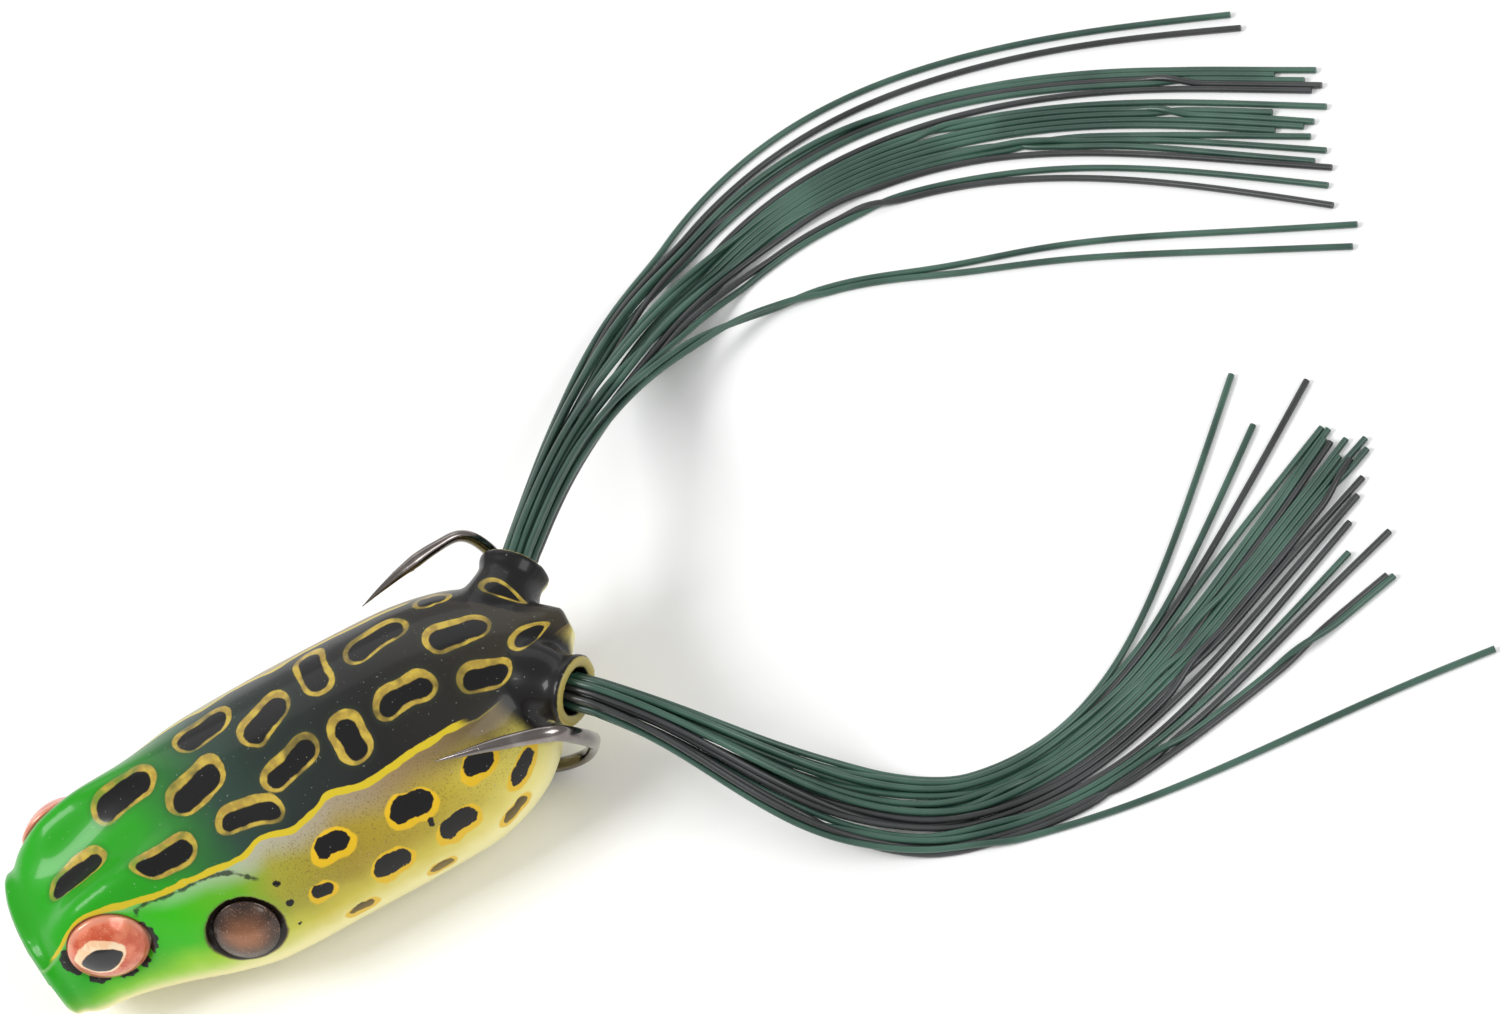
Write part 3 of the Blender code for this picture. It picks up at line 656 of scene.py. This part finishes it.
def stroke_distance(along, round_, stroke):
    """Distance in mm to a smooth stroke on the skin."""
    points = smooth_curve(stroke, 120)
    nearest = np.full(len(along), 1e3)
    for y, degrees in points:
        nearest = np.minimum(nearest, np.hypot(along - y, (round_ - degrees) * DEGREE))
    return nearest


def eye_axes():
    """The tailward and the upward direction on the face of the left eye."""
    back = Vector((0, 1, 0))
    back = (back - EYE_FACING * back.dot(EYE_FACING)).normalized()
    up = EYE_FACING.cross(back)
    return back, up if up.z > 0 else -up


def mark_out(mesh):
    """Writes on each point of the skin where it is on the frog's pattern, in mm."""
    count = len(mesh.vertices)
    points = np.empty(count * 3)
    mesh.vertices.foreach_get("co", points)
    x, y, z = points.reshape(-1, 3).T / MM
    half, low, high, waist = body_section(y)
    flat_z = z.copy()
    for _ in range(4):
        flat_z = z - brow_lift(x, y, flat_z)
    up = (flat_z - waist) / np.where(flat_z > waist, high - waist, waist - low)
    across = x / half
    power = SECTION_POWER / 2
    angle = np.arctan2(np.abs(across) ** power * np.sign(across), np.abs(up) ** power * np.sign(up))
    degrees = np.degrees(angle)
    size = (np.abs(across) ** SECTION_POWER + np.abs(up) ** SECTION_POWER) ** (1 / SECTION_POWER)
    marks = {"round": degrees, "under_skin": (1 - size) * np.minimum(half, high - waist)}

    ring, core = np.full(count, UNMARKED), np.full(count, UNMARKED)
    for spot in BACK_SPOTS:
        ring = np.minimum(ring, spot_distance(y, degrees, spot))
        core = np.minimum(core, spot_distance(y, degrees - 1.3, spot) + 0.62)
    marks["back_ring"], marks["back_core"] = ring, core
    ring, core = np.full(count, UNMARKED), np.full(count, UNMARKED)
    for spot in FLANK_SPOTS:
        ring = np.minimum(ring, spot_distance(y, np.abs(degrees), spot))
        core = np.minimum(core, spot_distance(y, np.abs(degrees) + 1.2, spot) + 0.5)
    for dot_y, dot_degrees, radius in DOTS:
        core = np.minimum(core, np.hypot(y - dot_y, (np.abs(degrees) - dot_degrees) * DEGREE) - radius)
    marks["flank_ring"], marks["flank_core"] = ring, core

    line = smooth_curve(SIDE_LINE, 200)
    line_degrees = np.interp(y, line[:, 0], line[:, 1]) + np.where(degrees < 0, FAR_LINE_DROP, 0.0)
    marks["below_line"] = (np.abs(degrees) - line_degrees) * DEGREE
    marks["eye_stroke"] = stroke_distance(y, np.abs(degrees), EYE_STROKE)

    mirrored = np.stack([np.abs(x), y, z], axis=1)
    eye_back, eye_up = eye_axes()
    from_eye = mirrored - np.array(EYE_CENTRE)
    eye_u, eye_v = from_eye @ np.array(eye_back), from_eye @ np.array(eye_up)
    blots = np.full(count, UNMARKED)
    place = EYE_RADIUS + 0.2
    for turn, radius in EYE_BLOTS:
        turn = math.radians(turn)
        away_u, away_v = eye_u - place * math.cos(turn), eye_v - place * math.sin(turn)
        blots = np.minimum(blots, np.hypot(away_u, away_v) - radius)
    out = from_eye @ np.array(EYE_FACING)
    marks["eye_blots"] = np.where(out > -3.0, blots, UNMARKED)
    marks["from_eye"] = np.where(np.abs(out) < 0.8, np.hypot(eye_u, eye_v) - EYE_RADIUS, UNMARKED)
    ear_depth, from_ear = about_axis(mirrored, EAR_CENTRE, EAR_FACING)
    marks["from_ear"] = np.where(ear_depth > -7.0, from_ear, UNMARKED)
    socket_depth, from_socket = about_axis(mirrored, Vector(SOCKET_MOUTH), SOCKET_FACING)
    marks["from_socket"] = np.where(socket_depth > -7.0, from_socket, UNMARKED)
    marks["socket_depth"] = np.where(marks["from_socket"] < 6, socket_depth, -UNMARKED)
    write_marks(mesh, marks)


def along_body(y):
    """A place from nose to tail as a share of the body's length."""
    return (y - LIP_Y) / (TAIL_Y - LIP_Y)


def skin_finish():
    """Airbrushed shades with a painted highlight along the brow, the printed spots and lines over them, and a
    clear topcoat.
    """
    made, tree, shader = new_finish("frog_paint", roughness=0.4, coat_weight=0.24, coat_roughness=0.1,
                                    specular_ior_level=0.18)

    def mark(name):
        return marked(tree, name)

    def times(first, second):
        return sums(tree, "MULTIPLY", first, second)

    def shifted(name, amount, per_metre, detail=3.0):
        """A marked distance with a ragged edge, that many mm to and fro."""
        ragged = sums(tree, "SUBTRACT", speckle(tree, per_metre, detail), 0.5)
        return sums(tree, "ADD", mark(name), times(ragged, 2 * amount))

    def inside(distance, edge=0.06, at=0.0):
        """1 where the distance is below at, with a soft edge that wide."""
        return between(tree, distance, at + edge, at - edge)

    def nose_to_tail(*stops):
        """Shades that change along the body, with a place in mm for each colour."""
        return shades(tree, share, [(along_body(at), shade) for at, shade in stops])

    place = place_on(tree)
    y = put(tree, "SeparateXYZ", {0: place}).outputs["Y"]
    share = spread(tree, y, 0.0, 1.0, LIP_Y * MM, TAIL_Y * MM)
    mist = sums(tree, "SUBTRACT", speckle(tree, 220.0, 4.0, place), 0.5)
    fine = speckle(tree, 5200.0, 2.0, place)
    share = sums(tree, "ADD", share, times(mist, 0.05))
    round_ = put(tree, "Math", {0: mark("round")}, operation="ABSOLUTE").outputs[0]
    soft_round = sums(tree, "ADD", round_, times(mist, 14.0))

    back = nose_to_tail(
        (-31.7, (0.015, 0.28, 0.006)), (-27.0, (0.012, 0.33, 0.004)), (-16.0, (0.018, 0.28, 0.010)),
        (-11.5, (0.022, 0.15, 0.025)), (-7.0, (0.020, 0.050, 0.034)), (-1.0, (0.014, 0.022, 0.019)),
        (10.0, (0.010, 0.010, 0.0095)), (22.0, (0.020, 0.017, 0.013)), (31.0, (0.04, 0.032, 0.02)))
    cheek = nose_to_tail(
        (-31.7, (0.012, 0.29, 0.005)), (-26.0, (0.015, 0.38, 0.003)), (-16.0, (0.035, 0.43, 0.004)),
        (-9.5, (0.12, 0.36, 0.015)), (-5.5, (0.33, 0.31, 0.035)), (2.0, (0.33, 0.24, 0.025)),
        (12.0, (0.42, 0.32, 0.03)), (19.0, (0.60, 0.50, 0.08)), (25.0, (0.68, 0.61, 0.14)),
        (31.0, (0.45, 0.37, 0.09)))
    low_cheek = nose_to_tail(
        (-31.7, (0.08, 0.34, 0.012)), (-26.0, (0.18, 0.54, 0.02)), (-17.0, (0.30, 0.60, 0.02)),
        (-9.0, (0.50, 0.55, 0.06)), (-3.0, (0.58, 0.50, 0.06)), (10.0, (0.62, 0.52, 0.08)),
        (22.0, (0.76, 0.68, 0.22)), (31.0, (0.76, 0.69, 0.32)))
    belly = (0.86, 0.79, 0.38)
    colour = cover(tree, back, cheek, between(tree, mark("below_line"), -0.05, 0.35))

    band = nose_to_tail(
        (-20.0, (0.24, 0.50, 0.20)), (-12.0, (0.38, 0.50, 0.34)), (-7.0, (0.40, 0.40, 0.31)),
        (0.0, (0.36, 0.31, 0.22)), (10.0, (0.26, 0.18, 0.09)), (19.0, (0.10, 0.065, 0.03)),
        (31.0, (0.14, 0.10, 0.04)))
    band_width = spread(tree, share, 1.8, 6.4, along_body(-20.0), along_body(24.0))
    below = sums(tree, "ADD", mark("below_line"), times(mist, 1.6))
    in_band = times(between(tree, sums(tree, "DIVIDE", below, band_width), 1.0, 0.15),
                    between(tree, mark("below_line"), 0.0, 0.3))
    in_band = times(in_band, between(tree, share, along_body(-21.0), along_body(-15.0)))
    in_band = times(in_band, spread(tree, share, 0.55, 0.95, along_body(-14.0), along_body(-5.0)))
    colour = cover(tree, colour, band, in_band)
    specks = times(between(tree, fine, 0.56, 0.66), between(tree, soft_round, 95.0, 60.0))
    specks = times(specks, between(tree, share, along_body(-9.0), along_body(-3.0)))
    specks = times(specks, between(tree, mark("below_line"), 0.2, 0.9))
    colour = cover(tree, colour, (0.12, 0.08, 0.03), times(specks, 0.5))
    colour = cover(tree, colour, low_cheek, between(tree, soft_round, 70.0, 90.0))
    colour = cover(tree, colour, belly, between(tree, soft_round, 84.0, 106.0))

    # the brow's pale streak: partly pale paint, partly a painted highlight for the sheen along the brow
    pale_streak_and_sheen = inside(shifted("below_line", 0.3, 500.0), 0.35, 0.75)
    pale_streak_and_sheen = times(pale_streak_and_sheen, inside(share, 0.03, along_body(-18.5)))
    pale_streak_and_sheen = times(pale_streak_and_sheen, between(tree, mark("below_line"), 0.15, 0.4))
    colour = cover(tree, colour, (0.30, 0.50, 0.22), times(pale_streak_and_sheen, 0.5))

    # the dark leg sockets
    facing_up = put(tree, "SeparateXYZ", {0: put(tree, "NewGeometry", {}).outputs["Normal"]}).outputs["Z"]
    socket = inside(shifted("from_socket", 0.5, 300.0), 0.9, 5.5)
    socket = times(socket, between(tree, facing_up, -0.55, -0.2))
    colour = cover(tree, colour, (0.008, 0.007, 0.007), socket)

    # printed spots
    worn = between(tree, speckle(tree, 900.0), 0.35, 0.65)
    ring_colour = cover(tree, (0.50, 0.36, 0.05), (0.34, 0.23, 0.04), worn)
    back_ring = shifted("back_ring", 0.4, 260.0, 5.0)
    fade = sums(tree, "ADD", 0.35, times(between(tree, speckle(tree, 300.0), 0.36, 0.54), 0.65))
    shade_round = times(inside(back_ring, 0.5, 0.25), 0.35)
    colour = cover(tree, colour, (0.03, 0.045, 0.02), shade_round)
    colour = cover(tree, colour, ring_colour, times(inside(back_ring, 0.07), fade))
    colour = cover(tree, colour, (0.004, 0.004, 0.004), inside(shifted("back_core", 0.5, 300.0, 5.0), 0.09))
    flank_ring = shifted("flank_ring", 0.6, 400.0, 4.0)
    colour = cover(tree, colour, (0.74, 0.46, 0.012), times(inside(flank_ring, 0.14), 0.92))
    flank_core = shifted("flank_core", 0.6, 700.0, 6.0)
    dull_low = spread(tree, round_, 1.0, 0.75, 88.0, 102.0)
    colour = cover(tree, colour, (0.007, 0.006, 0.006), times(inside(flank_core, 0.07), dull_low))

    # the yellow side line and the black stroke under it
    swell = sums(tree, "MULTIPLY", between(tree, speckle(tree, 300.0), 0.35, 0.65), 0.14)
    off_line = put(tree, "Math", {0: shifted("below_line", 0.24, 420.0)}, operation="ABSOLUTE").outputs[0]
    line = inside(sums(tree, "SUBTRACT", off_line, swell), 0.06, 0.27)
    line = times(line, times(between(tree, share, along_body(-30.0), along_body(-28.8)),
                             between(tree, share, along_body(19.0), along_body(17.6))))
    stroke = inside(shifted("eye_stroke", 0.45, 1100.0, 5.0), 0.12, 0.2)
    colour = cover(tree, colour, (0.010, 0.014, 0.010), times(stroke, 0.85))
    colour = cover(tree, colour, (0.58, 0.44, 0.018), line)

    # round the eyes and the ears
    colour = cover(tree, colour, (0.010, 0.012, 0.008), inside(shifted("eye_blots", 0.4, 1300.0, 3.0), 0.06))
    colour = cover(tree, colour, (0.20, 0.05, 0.02), inside(mark("from_eye"), 0.05, 0.1))
    ear_edge = inside(shifted("from_ear", 0.2, 700.0), 0.16, 4.15)
    colour = cover(tree, colour, (0.10, 0.045, 0.025), times(ear_edge, 0.85))
    colour = cover(tree, colour, (0.012, 0.008, 0.006), inside(shifted("from_ear", 0.1, 700.0), 0.1, 4.0))

    # the sockets' bare rims, and the unpainted inside
    rim = times(inside(mark("from_socket"), 0.05, 4.2), between(tree, mark("socket_depth"), -0.28, -0.12))
    colour = cover(tree, colour, (0.40, 0.33, 0.09), rim)
    bare = between(tree, mark("under_skin"), 0.8, 1.0)
    bare = times(bare, between(tree, share, along_body(-26.2), along_body(-25.6)))
    colour = cover(tree, colour, (0.78, 0.74, 0.58), times(bare, between(tree, mark("from_ear"), 4.3, 4.6)))
    dust = times(between(tree, speckle(tree, 3400.0, 1.0), 0.74, 0.80), 0.35)
    colour = cover(tree, colour, (0.5, 0.5, 0.45), dust)
    lay_on(tree, shader, colour, speckle(tree, 150.0, 4.0), 0.30, 0.48)

    relief = times(speckle(tree, 900.0, 3.0), 0.6)
    for ring in ("back_ring", "flank_ring"):
        relief = sums(tree, "ADD", relief, times(inside(mark(ring), 0.15), 0.5))
    roughen(tree, shader, relief, 0.03, 0.6)
    return made


shell_mesh = mould_shell()
relax_skin(shell_mesh)
mark_out(shell_mesh)
shell = show("frog_shell", shell_mesh, skin_finish())
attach(shell, "shell")
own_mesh(shell)
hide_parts("hollow_body")


# Eyes
# Each eye is a moulded dome with a copper foil face under clear resin: a black almond pupil in a cream
# border, set low and forward. It is glued into a round seat in the side of the brow.

EYE_HEIGHT = 2.0
PUPIL = {"u": -0.8, "v": 0.15, "half_long": 2.2, "half_high": 1.5, "slant": 2}
CREAM = {"u": -0.8, "v": 0.5, "half_long": 2.7, "half_high": 2.15, "slant": 2}


def dome(radius, height, rim, steps=22, sides=88):
    """A dome with a rolled rim and a flat back, sunk below Z = 0."""
    ball = (radius ** 2 + height ** 2) / (2 * height)
    widest = math.asin(min(1.0, (radius - rim) / ball))
    outline = [(height - ball + ball * math.cos(widest * i / steps), ball * math.sin(widest * i / steps))
               for i in range(steps + 1)]
    edge = outline[-1][0]
    rolled = [(edge * (1 - k / 4) * 0.9, radius - rim * (1 - math.sin(math.pi / 2 * k / 4)))
              for k in range(1, 5)]
    outline += rolled + [(-0.3, radius), (-0.3, 0.0)]
    return turned(outline, sides)


def almond(u, v, shape):
    """1 on the edge of an almond, less inside."""
    turn = math.radians(shape["slant"])
    du, dv = u - shape["u"], v - shape["v"]
    long_way = (du * math.cos(turn) + dv * math.sin(turn)) / shape["half_long"]
    high_way = (dv * math.cos(turn) - du * math.sin(turn)) / shape["half_high"]
    return (np.abs(long_way) ** 1.5 + np.abs(high_way) ** 1.7) ** (1 / 1.6)


def eye_finish():
    made, tree, shader = new_finish("copper_eye", metallic=0.2, coat_weight=0.5, coat_roughness=0.05)
    flow = speckle(tree, 700.0, 4.0)
    foil = cover(tree, (0.54, 0.075, 0.022), (0.74, 0.20, 0.10), between(tree, flow, 0.35, 0.7))
    glint = between(tree, speckle(tree, 6000.0, 1.0), 0.62, 0.75)
    foil = cover(tree, foil, (0.95, 0.62, 0.48), sums(tree, "MULTIPLY", glint, 0.4))
    foil = cover(tree, foil, (0.72, 0.27, 0.17), between(tree, marked(tree, "eye_radius"), 0.86, 0.97))
    ragged = sums(tree, "MULTIPLY", sums(tree, "SUBTRACT", speckle(tree, 1500.0), 0.5), 0.12)
    cream = between(tree, sums(tree, "ADD", marked(tree, "cream"), ragged), 1.04, 0.96)
    border = cover(tree, (0.90, 0.56, 0.32), (0.93, 0.72, 0.48), between(tree, flow, 0.4, 0.6))
    colour = cover(tree, foil, border, cream)
    pupil = between(tree, sums(tree, "ADD", marked(tree, "pupil"), ragged), 1.05, 0.97)
    colour = cover(tree, colour, (0.006, 0.005, 0.006), pupil)
    lay_on(tree, shader, colour, speckle(tree, 900.0), 0.22, 0.38)
    return made


copper_eye = eye_finish()
for side, sign in SIDES.items():
    eye = solid(f"{side}_eye", dome(EYE_RADIUS, EYE_HEIGHT, 0.35), facing_matrix(EYE_CENTRE, EYE_FACING))
    points = np.array([vert.co for vert in eye.data.vertices]) / MM - np.array(EYE_CENTRE)
    back, up = eye_axes()
    u, v = points @ np.array(back), points @ np.array(up)
    write_marks(eye.data, {"pupil": almond(u, v, PUPIL), "cream": almond(u, v, CREAM),
                           "eye_radius": np.hypot(u, v) / EYE_RADIUS})
    if sign < 0:
        eye.data.transform(Matrix.Scale(-1, 4, Vector((1, 0, 0))))
        eye.data.flip_normals()
    eye.data.materials.append(copper_eye)
    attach(eye, "shell")
    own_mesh(eye)
    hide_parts(f"eye_{side}")


# Ear discs
# A bronze dome, plain and polished, glued in a round black recess behind each eye. Its colour has a painted
# highlight in the middle and painted shade towards the rim.

EAR_RADIUS = 3.35
EAR_HEIGHT = 1.2


def ear_finish():
    made, tree, shader = new_finish("bronze_ear", metallic=0.7, coat_weight=0.6, coat_roughness=0.07)
    flow = speckle(tree, 420.0, 5.0)
    ragged = sums(tree, "MULTIPLY", sums(tree, "SUBTRACT", flow, 0.5), 0.3)
    off_middle = sums(tree, "ADD", marked(tree, "ear_radius"), ragged)
    # painted highlight in the middle of the dome and painted shade towards its rim
    colour = cover(tree, (0.30, 0.125, 0.06), (0.045, 0.025, 0.018), between(tree, off_middle, 0.15, 0.95))
    glint = between(tree, speckle(tree, 5200.0, 1.0), 0.6, 0.74)
    colour = cover(tree, colour, (0.55, 0.32, 0.2), sums(tree, "MULTIPLY", glint, 0.35))
    lay_on(tree, shader, colour, flow, 0.24, 0.42)
    return made


bronze_ear = ear_finish()
for side, (centre, out) in zip(SIDES, both_sides((EAR_CENTRE, EAR_FACING))):
    ear = solid(f"{side}_ear", dome(EAR_RADIUS, EAR_HEIGHT, 0.3), facing_matrix(centre, out))
    _, off_axis = about_axis(np.array([vert.co for vert in ear.data.vertices]) / MM, centre, out)
    write_marks(ear.data, {"ear_radius": off_axis / EAR_RADIUS})
    ear.data.materials.append(bronze_ear)
    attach(ear, "shell")
    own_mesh(ear)
    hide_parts(f"ear_{side}")


# Double hook
# Bent from one length of 1.4 mm wire: the eye in the mouth, two shanks side by side through the body, and two
# bends that come up round the tail to barbed points over the back. The bends are forged flat; black nickel.

WIRE = 1.4
HOOK_EYE_RADIUS = 1.35
HOOK_EYE_WIRE = 0.55
HOOK_ROUTE = [
    (0.55, -28.6, 8.7), (0.6, -24.0, 8.2), (0.6, -12.0, 6.2), (0.6, 2.0, 3.8), (0.62, 12.0, 2.0),
    (0.9, 16.5, 1.25), (2.4, 20.2, 1.15), (4.9, 23.8, 1.5), (7.0, 26.8, 3.6), (9.2, 28.2, 7.8),
    (11.7, 28.2, 12.0), (13.4, 27.5, 15.6), (13.9, 25.9, 18.3), (13.3, 23.0, 19.3),
    (12.4, 19.5, 19.7), (11.6, 16.6, 19.7), (10.8, 14.0, 19.6)]
POINT_LENGTH = 7.0
BARB_BACK = 5.2
FORGED = 0.84               # thickness of the forged bends over the wire's
FORGED_LENGTH = 36.0        # of wire before the point


def wire_shape(points, radii, flats, sides=18):
    """A tube along points in mm, with a radius and a flattening at each."""
    shape = bmesh.new()
    side_on = Vector((0, 0, 1))
    last = None
    ends = []
    for i, point in enumerate(points):
        along = Vector(points[min(i + 1, len(points) - 1)] - points[max(i - 1, 0)]).normalized()
        side_on = (side_on - along * side_on.dot(along)).normalized()
        ring = bmesh.ops.create_circle(shape, segments=sides, radius=radii[i])["verts"]
        bmesh.ops.scale(shape, vec=(flats[i], 1 / flats[i], 1), verts=ring)
        turn = Matrix((side_on, along.cross(side_on), along)).transposed().to_4x4()
        bmesh.ops.transform(shape, matrix=Matrix.Translation(Vector(point)) @ turn, verts=ring)
        edges = list({edge for vert in ring for edge in vert.link_edges if edge.other_vert(vert) in ring})
        if last:
            bmesh.ops.bridge_loops(shape, edges=edges + last)
        if i in (0, len(points) - 1):
            ends.append(edges)
        last = edges
    for edges in ends:
        bmesh.ops.contextual_create(shape, geom=edges)
    return shape


def hook_half(sign, count):
    """One wire of the hook from behind its eye to its point, and the barb cut up behind the point."""
    points = smooth_curve([np.array(p) * (sign, 1, 1) for p in HOOK_ROUTE], count)
    step = np.linalg.norm(np.diff(points, axis=0), axis=1).mean()
    to_point = (count - 1 - np.arange(count)) * step
    radii = WIRE / 2 * np.clip((to_point / POINT_LENGTH), 0.0, 1.0) ** 0.8
    radii = np.maximum(radii, 0.05)
    forged = ease(FORGED_LENGTH + 6, FORGED_LENGTH, to_point) * ease(POINT_LENGTH, POINT_LENGTH + 4, to_point)
    wire = solid("wire", wire_shape(points, radii, 1 - (1 - FORGED) * forged))
    tip = Vector(points[-1])
    along = (tip - Vector(points[-6])).normalized()
    inward = Vector((-0.5 * sign, 0.0, -0.86))
    inward = (inward - along * inward.dot(along)).normalized()
    root = tip - along * BARB_BACK
    lean = (-along * 0.86 + inward * 0.5).normalized()
    barb = turned([(-1.1, 0.0), (-1.1, 0.4), (-0.2, 0.3), (0.7, 0.14), (1.15, 0.03), (1.15, 0.0)], 14)
    return wire, solid("barb", barb, facing_matrix(root + inward * 0.42 - along * 0.2, lean))


def hook_eye():
    """The flat ring of the line tie."""
    shape = bmesh.new()
    bmesh.ops.create_circle(shape, segments=18, radius=HOOK_EYE_WIRE)
    bmesh.ops.rotate(shape, matrix=Matrix.Rotation(math.pi / 2, 3, "X"), verts=shape.verts)
    bmesh.ops.translate(shape, vec=(HOOK_EYE_RADIUS, 0, 0), verts=shape.verts)
    bmesh.ops.spin(shape, geom=shape.verts[:] + shape.edges[:], cent=(0, 0, 0), axis=(0, 0, 1),
                   angle=2 * math.pi, steps=60, use_merge=True)
    bmesh.ops.remove_doubles(shape, verts=shape.verts, dist=1e-4)
    return shape


def nickel_finish():
    made, tree, shader = new_finish("black_nickel", metallic=1.0, coat_weight=0.3, coat_roughness=0.05)
    worn = between(tree, speckle(tree, 300.0, 5.0), 0.5, 0.75)
    colour = cover(tree, (0.20, 0.175, 0.165), (0.42, 0.38, 0.36), sums(tree, "MULTIPLY", worn, 0.6))
    lay_on(tree, shader, colour, speckle(tree, 500.0, 4.0), 0.12, 0.26)
    roughen(tree, shader, speckle(tree, 2500.0, 2.0), 0.008, 0.4)
    return made


left_wire, left_barb = hook_half(1, 240)
right_wire, right_barb = hook_half(-1, 253)
braze = bmesh.new()
bmesh.ops.create_uvsphere(braze, u_segments=26, v_segments=16, radius=1.0)
bmesh.ops.scale(braze, vec=(0.75, 1.9, 0.62), verts=braze.verts)
ring = solid("twin_hook", hook_eye(), Matrix.Translation(HOOK_EYE))
joint = solid("braze", braze, Matrix.Translation((0, -27.2, 8.55)))
bent = (left_wire, left_barb, right_wire, right_barb, joint)
hook_mesh = fitted(ring, *[("UNION", piece) for piece in bent])
hook_mesh.set_sharp_from_angle(angle=math.radians(50))
hook = show("double_hook", hook_mesh, nickel_finish())
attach(hook, "hook")
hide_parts("twin_hook")


# Keel weight
# A boat-shaped lead casting pinched on the two shanks, low in the belly, so that the frog sits upright.
# The casting is left bare inside the shell, grey and a little pitted.

def lead_finish():
    made, tree, shader = new_finish("cast_lead", metallic=0.85)
    pitted = between(tree, speckle(tree, 260.0, 6.0), 0.3, 0.7)
    grey = cover(tree, (0.13, 0.13, 0.14), (0.30, 0.30, 0.31), pitted)
    lay_on(tree, shader, grey, speckle(tree, 800.0, 4.0), 0.42, 0.68)
    roughen(tree, shader, speckle(tree, 1200.0, 5.0), 0.08, 0.7)
    return made


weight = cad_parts["keel_weight"]
weight.data.materials.clear()
weight.data.materials.append(lead_finish())


# Floor and light
# A pale paper sweep under a large soft tent of light, with a key from above the head and two strips for the
# shine on the wires and along the back.

def paper_finish():
    made, tree, shader = new_finish("paper", roughness=0.85)
    tone = between(tree, speckle(tree, 40.0, 3.0), 0.2, 0.8)
    tree.links.new(cover(tree, (0.91, 0.91, 0.91), (0.94, 0.94, 0.94), tone), shader.inputs["Base Color"])
    return made


sweep = bmesh.new()
bmesh.ops.create_grid(sweep, x_segments=1, y_segments=1, size=1.5)
sweep_mesh = bpy.data.meshes.new("floor")
sweep.to_mesh(sweep_mesh)
sweep.free()
floor = show("floor", sweep_mesh, paper_finish())


def lamp(name, place, target, size, power):
    light = bpy.data.lights.new(name, "AREA")
    light.shape = "RECTANGLE"
    light.size, light.size_y = size
    light.energy = power
    made = bpy.data.objects.new(name, light)
    made.location = place
    made.rotation_mode = "QUATERNION"
    made.rotation_quaternion = (Vector(target) - Vector(place)).to_track_quat("-Z", "Y")
    bpy.context.scene.collection.objects.link(made)


lamp("key", (-0.05, -0.45, 0.55), (0, 0, 0.01), (0.30, 0.30), 3.4)
lamp("back_strip", (-0.45, 0.15, 0.35), (0, 0.03, 0.01), (0.6, 0.3), 0.6)
lamp("side_strip", (0.35, 0.35, 0.40), (0, 0.03, 0.01), (0.40, 0.28), 1.4)
world = bpy.data.worlds.new("tent")
world.use_nodes = True
world.node_tree.nodes["Background"].inputs["Color"].default_value = (1.0, 1.0, 1.0, 1.0)
world.node_tree.nodes["Background"].inputs["Strength"].default_value = 0.52
bpy.context.scene.world = world
bpy.context.scene.view_settings.view_transform = "Standard"
